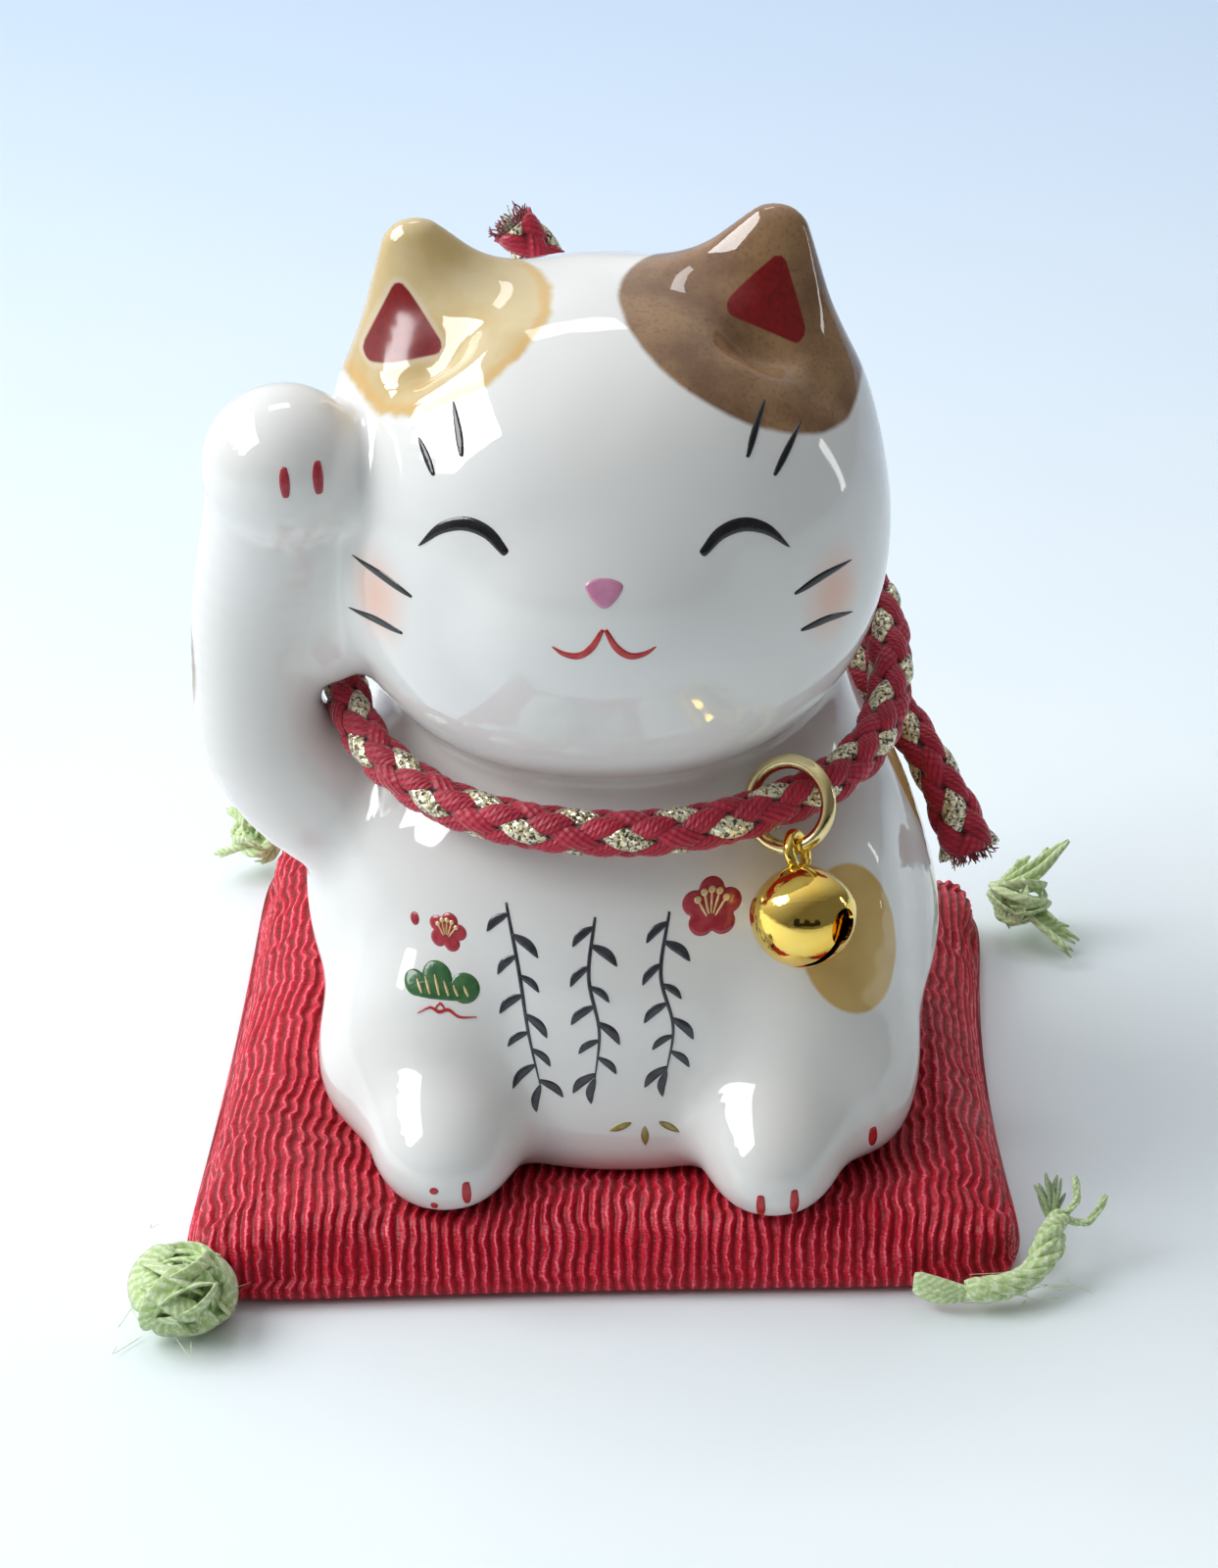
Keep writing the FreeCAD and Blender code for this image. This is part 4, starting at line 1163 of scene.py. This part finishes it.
def make_tassels(material):
    left = wad((-39.8, -44.6, 4.3), (4.8, 4.4, 4.0), 34, 2.3)
    left += hairs((-40.0, -45.0, 4.0), (4.6, 4.2, 3.0), 26)
    left += rope_of([(-39.8, -41.0, 5.0), (-38.0, -41.2, 5.6), (-36.6, -41.0, 5.8)], 0.25, 2, 1.0, 0.6)
    flat = []
    for k in range(7):
        spread = [(29.6, -41.7 + 0.1 * k, 4.1 - 0.35 * k), (32.0, -42.1 - 0.035 * k, 3.5 - 0.28 * k),
                  (34.4, -42.0, 2.6 - 0.12 * k), (36.2, -41.8, 2.4)]
        flat.append((spread, 1.1, 0.6))
    climb = [(34.6, -41.9, 2.5), (37.6, -41.7, 2.7), (40.4, -40.6, 3.0), (42.6, -38.2, 3.8), (43.8, -35.8, 5.0)]
    front = flat + rope_of(climb, 0.7, 5, 1.3, 1.5)
    front += rope_of([(41.6, -38.8, 3.8), (43.2, -36.4, 5.6), (44.4, -35.0, 6.6)], 0.6, 4, 0.8, 1.2)
    front += rope_of([(44.2, -35.2, 6.4), (45.6, -34.8, 8.0), (45.4, -33.8, 10.2)], 0.2, 3, 1.0, 0.55)
    front += rope_of([(44.6, -35.4, 6.2), (46.8, -35.2, 5.8), (48.6, -34.2, 8.2)], 0.2, 3, 1.0, 0.55)
    dark_tips = [(42.2, -31.2, 7.2), (43.0, -30.6, 7.6), (44.0, -30.8, 7.8), (44.8, -31.6, 7.0)]
    dark = splay((43.2, -35.8, 5.2), dark_tips, 0.6)
    kinds = [0.0] * len(front) + [0.75] * len(dark)
    front += dark
    more = hairs((38.0, -41.6, 2.2), (5.0, 1.0, 1.2), 18)
    front += more
    kinds += [0.0] * len(more)
    tips = [(51.4, 31.5, 9.6), (49.6, 33.0, 8.0), (48.8, 27.0, 5.4), (51.6, 23.0, 2.0), (50.2, 26.4, 3.6),
            (47.0, 33.4, 7.4), (46.4, 28.0, 2.6), (52.0, 26.0, 1.2)]
    right_back = splay((43.0, 31.0, 4.6), tips, 0.9, 0.6)
    right_back += wad((46.0, 30.0, 4.6), (3.4, 4.2, 3.0), 18, 1.2)
    tips = [(-43.6, 46.4, 7.0), (-41.0, 48.0, 3.0), (-44.0, 43.0, 3.0), (-38.6, 47.4, 6.4)]
    left_back = splay((-39.0, 43.0, 4.6), tips, 0.9, 0.6)
    left_back += wad((-40.0, 43.6, 4.6), (3.0, 3.4, 2.8), 16, 1.2)
    for name, lines, ks in (("tassel_front_left", left, None), ("tassel_front_right", front, kinds),
                            ("tassel_back_right", right_back, None), ("tassel_back_left", left_back, None)):
        obj = yarn("yarn_" + name, lines, material, "cushion", ks, 7)
        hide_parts(name)


# ---------------------------------------------------------------- ring and bell

def finish_metal():
    """The CAD's own metal pieces, with gilt finishes."""
    ring = polished_gold("ring_gilt", (244, 230, 176), (222, 198, 138), 0.12)
    bell = polished_gold("bell_gilt", (255, 224, 120), (248, 200, 88), 0.04)
    steel = polished_gold("pellet_steel", (190, 188, 184), (150, 148, 144), 0.2)
    for node, paint in (("bell_ring", ring), ("bell_loop", bell), ("bell_upper_shell", bell),
                        ("bell_lower_shell", bell), ("bell_pellet", steel)):
        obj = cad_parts[node]
        obj.data.materials.clear()
        obj.data.materials.append(paint)


# ---------------------------------------------------------------- floor and light

def make_floor():
    size = 3000.0
    verts = [(-size, -size, 0), (size, -size, 0), (size, size, 0), (-size, size, 0)]
    p = Paint("pale_floor", Roughness=0.6)
    depth = p.add("ShaderNodeSeparateXYZ", {"Vector": p.place()}, out=1)
    grain = p.scaled(p.noise(0.02 * PER_MM, 2.0), 0.3, 0.7)
    near = p.mix(grain, rgb(238, 246, 249), rgb(234, 243, 248))
    # painted light falloff: the floor is painted darker and bluer towards the back, over its pale bluish colour
    p.color(p.mix(p.scaled(depth, 0.0, 0.42, smooth=True), near, rgb(206, 226, 250)))
    p.bump(p.noise(1.2 * PER_MM, 2.0), 0.02, 0.4)
    floor = mesh_object("floor", verts, [(0, 1, 2, 3)], p.material, None, smooth=False)


WINDOW_AWAY = 700.0
WINDOW_AZIMUTH = math.radians(-90.0)
WINDOW_ELEVATION = math.radians(39.0)
# the bright window's outline, across and up from its middle: straight above, ragged roofs below
WINDOW_OUTLINE = ((-330, 215), (330, 230), (338, -60), (262, -95), (225, -40), (150, -165), (92, -108),
                  (40, -190), (-52, -128), (-92, -196), (-165, -120), (-238, -178), (-330, -130))

BACK_OUTLINE = ((-160, 60), (160, 80), (150, -60), (-150, -80))
STRIP_OUTLINE = ((-26, 150), (26, 150), (26, -90), (-26, -90))
DAYLIGHT = (0.97, 0.99, 1.0, 1.0)
# the room's dark furniture, as seen from the object
ROOM_OUTLINE = ((-430, -70), (-430, 50), (-260, 66), (-250, 10), (-130, 22), (-118, 92), (40, 104), (52, 36),
                (190, 44), (204, 116), (370, 104), (410, -70))


def glow(name, color, strength):
    p = Paint(name)
    p.nodes.remove(p.shader)
    shine = p.add("ShaderNodeEmission", {"Color": color, "Strength": strength})
    p.links.new(shine, p.nodes["Material Output"].inputs["Surface"])
    return p.material


def panel(name, azimuth, elevation, away, outline, strength, color, only_mirrored=False):
    """A shining shape facing the object, out of the camera's sight; azimuth 0 is the front, + is right."""
    level = math.cos(elevation)
    out = np.array([math.sin(azimuth) * level, -math.cos(azimuth) * level, math.sin(elevation)])
    across = unit(np.cross(out, (0.0, 0.0, 1.0)))
    rise = np.cross(across, out)
    middle = np.array([0.0, 0.0, 50.0]) + out * away
    points = [middle + a * across + b * rise for a, b in outline]
    face = tuple(range(len(points)))
    obj = mesh_object(name, points, [face], glow(name, color, strength), None, smooth=False)
    obj.visible_camera = False
    obj.visible_diffuse = not only_mirrored
    obj.visible_shadow = False


def make_light():
    world = bpy.data.worlds.new("room")
    bpy.context.scene.world = world
    world.use_nodes = True
    nodes, links = world.node_tree.nodes, world.node_tree.links
    where = nodes.new("ShaderNodeTexCoord")
    lean = nodes.new("ShaderNodeVectorMath")
    lean.operation = "DOT_PRODUCT"
    lean.inputs[1].default_value = (-0.5, 0.5, 0.7)
    links.new(where.outputs["Generated"], lean.inputs[0])
    ramp = nodes.new("ShaderNodeValToRGB")
    ramp.color_ramp.elements[0].position = 0.0
    ramp.color_ramp.elements[0].color = (0.15, 0.147, 0.145, 1.0)
    ramp.color_ramp.elements[1].position = 0.85
    ramp.color_ramp.elements[1].color = (0.93, 0.97, 1.0, 1.0)
    middle = ramp.color_ramp.elements.new(0.35)
    middle.color = (0.39, 0.395, 0.40, 1.0)
    links.new(lean.outputs["Value"], ramp.inputs["Fac"])
    links.new(ramp.outputs["Color"], nodes["Background"].inputs["Color"])
    nodes["Background"].inputs["Strength"].default_value = 1.0
    window = (WINDOW_AZIMUTH, WINDOW_ELEVATION)
    panel("window_glow", *window, WINDOW_AWAY, WINDOW_OUTLINE, 6.0, DAYLIGHT)
    # the sky through it is far brighter in a mirror-smooth glaze than it lights the room
    panel("window_sky", *window, WINDOW_AWAY - 5.0, WINDOW_OUTLINE, 11.0, DAYLIGHT, True)
    panel("back_glow", math.radians(-165.0), math.radians(64.0), 900.0, BACK_OUTLINE, 6.0, (0.95, 0.98, 1.0, 1.0))
    # the dim side of the room, low in front, which gives the bell its dark band
    panel("room_side", math.radians(4.0), math.radians(9.0), 800.0, ROOM_OUTLINE, 0.02, (1.0, 0.9, 0.8, 1.0), True)
    panel("right_strip", math.radians(104.0), math.radians(7.0), 800.0, STRIP_OUTLINE, 5.0, (1.0, 1.0, 1.0, 1.0))
    bpy.context.scene.view_settings.view_transform = "Standard"


# ---------------------------------------------------------------- building it all

ENAMELS = {
    "black_lines": enamel("black_enamel", (24, 24, 28), (38, 36, 42), 0.1),
    "red_lines": enamel("red_enamel", (176, 34, 40), (196, 66, 66)),
    "cream_lines": gold_enamel("cream_enamel", (236, 216, 170), (214, 188, 130)),
    "green_pine": enamel("green_enamel", (52, 96, 58), (72, 116, 70)),
    "olive_leaves": gold_enamel("olive_enamel", (158, 146, 84), (130, 118, 62)),
    "pink_nose": enamel("pink_enamel", (206, 140, 172), (196, 124, 156)),
    "charcoal_leaves": enamel("charcoal_enamel", (62, 64, 72), (44, 38, 44)),
    "red_blossoms": enamel("blossom_enamel", (160, 44, 58), (182, 70, 80)),
}
make_camera()
make_collar(collar_paint())
make_cat(porcelain_paint())
make_drawing(ENAMELS)
make_cushion(cushion_paint())
make_tassels(yarn_paint())
finish_metal()
make_floor()
make_light()
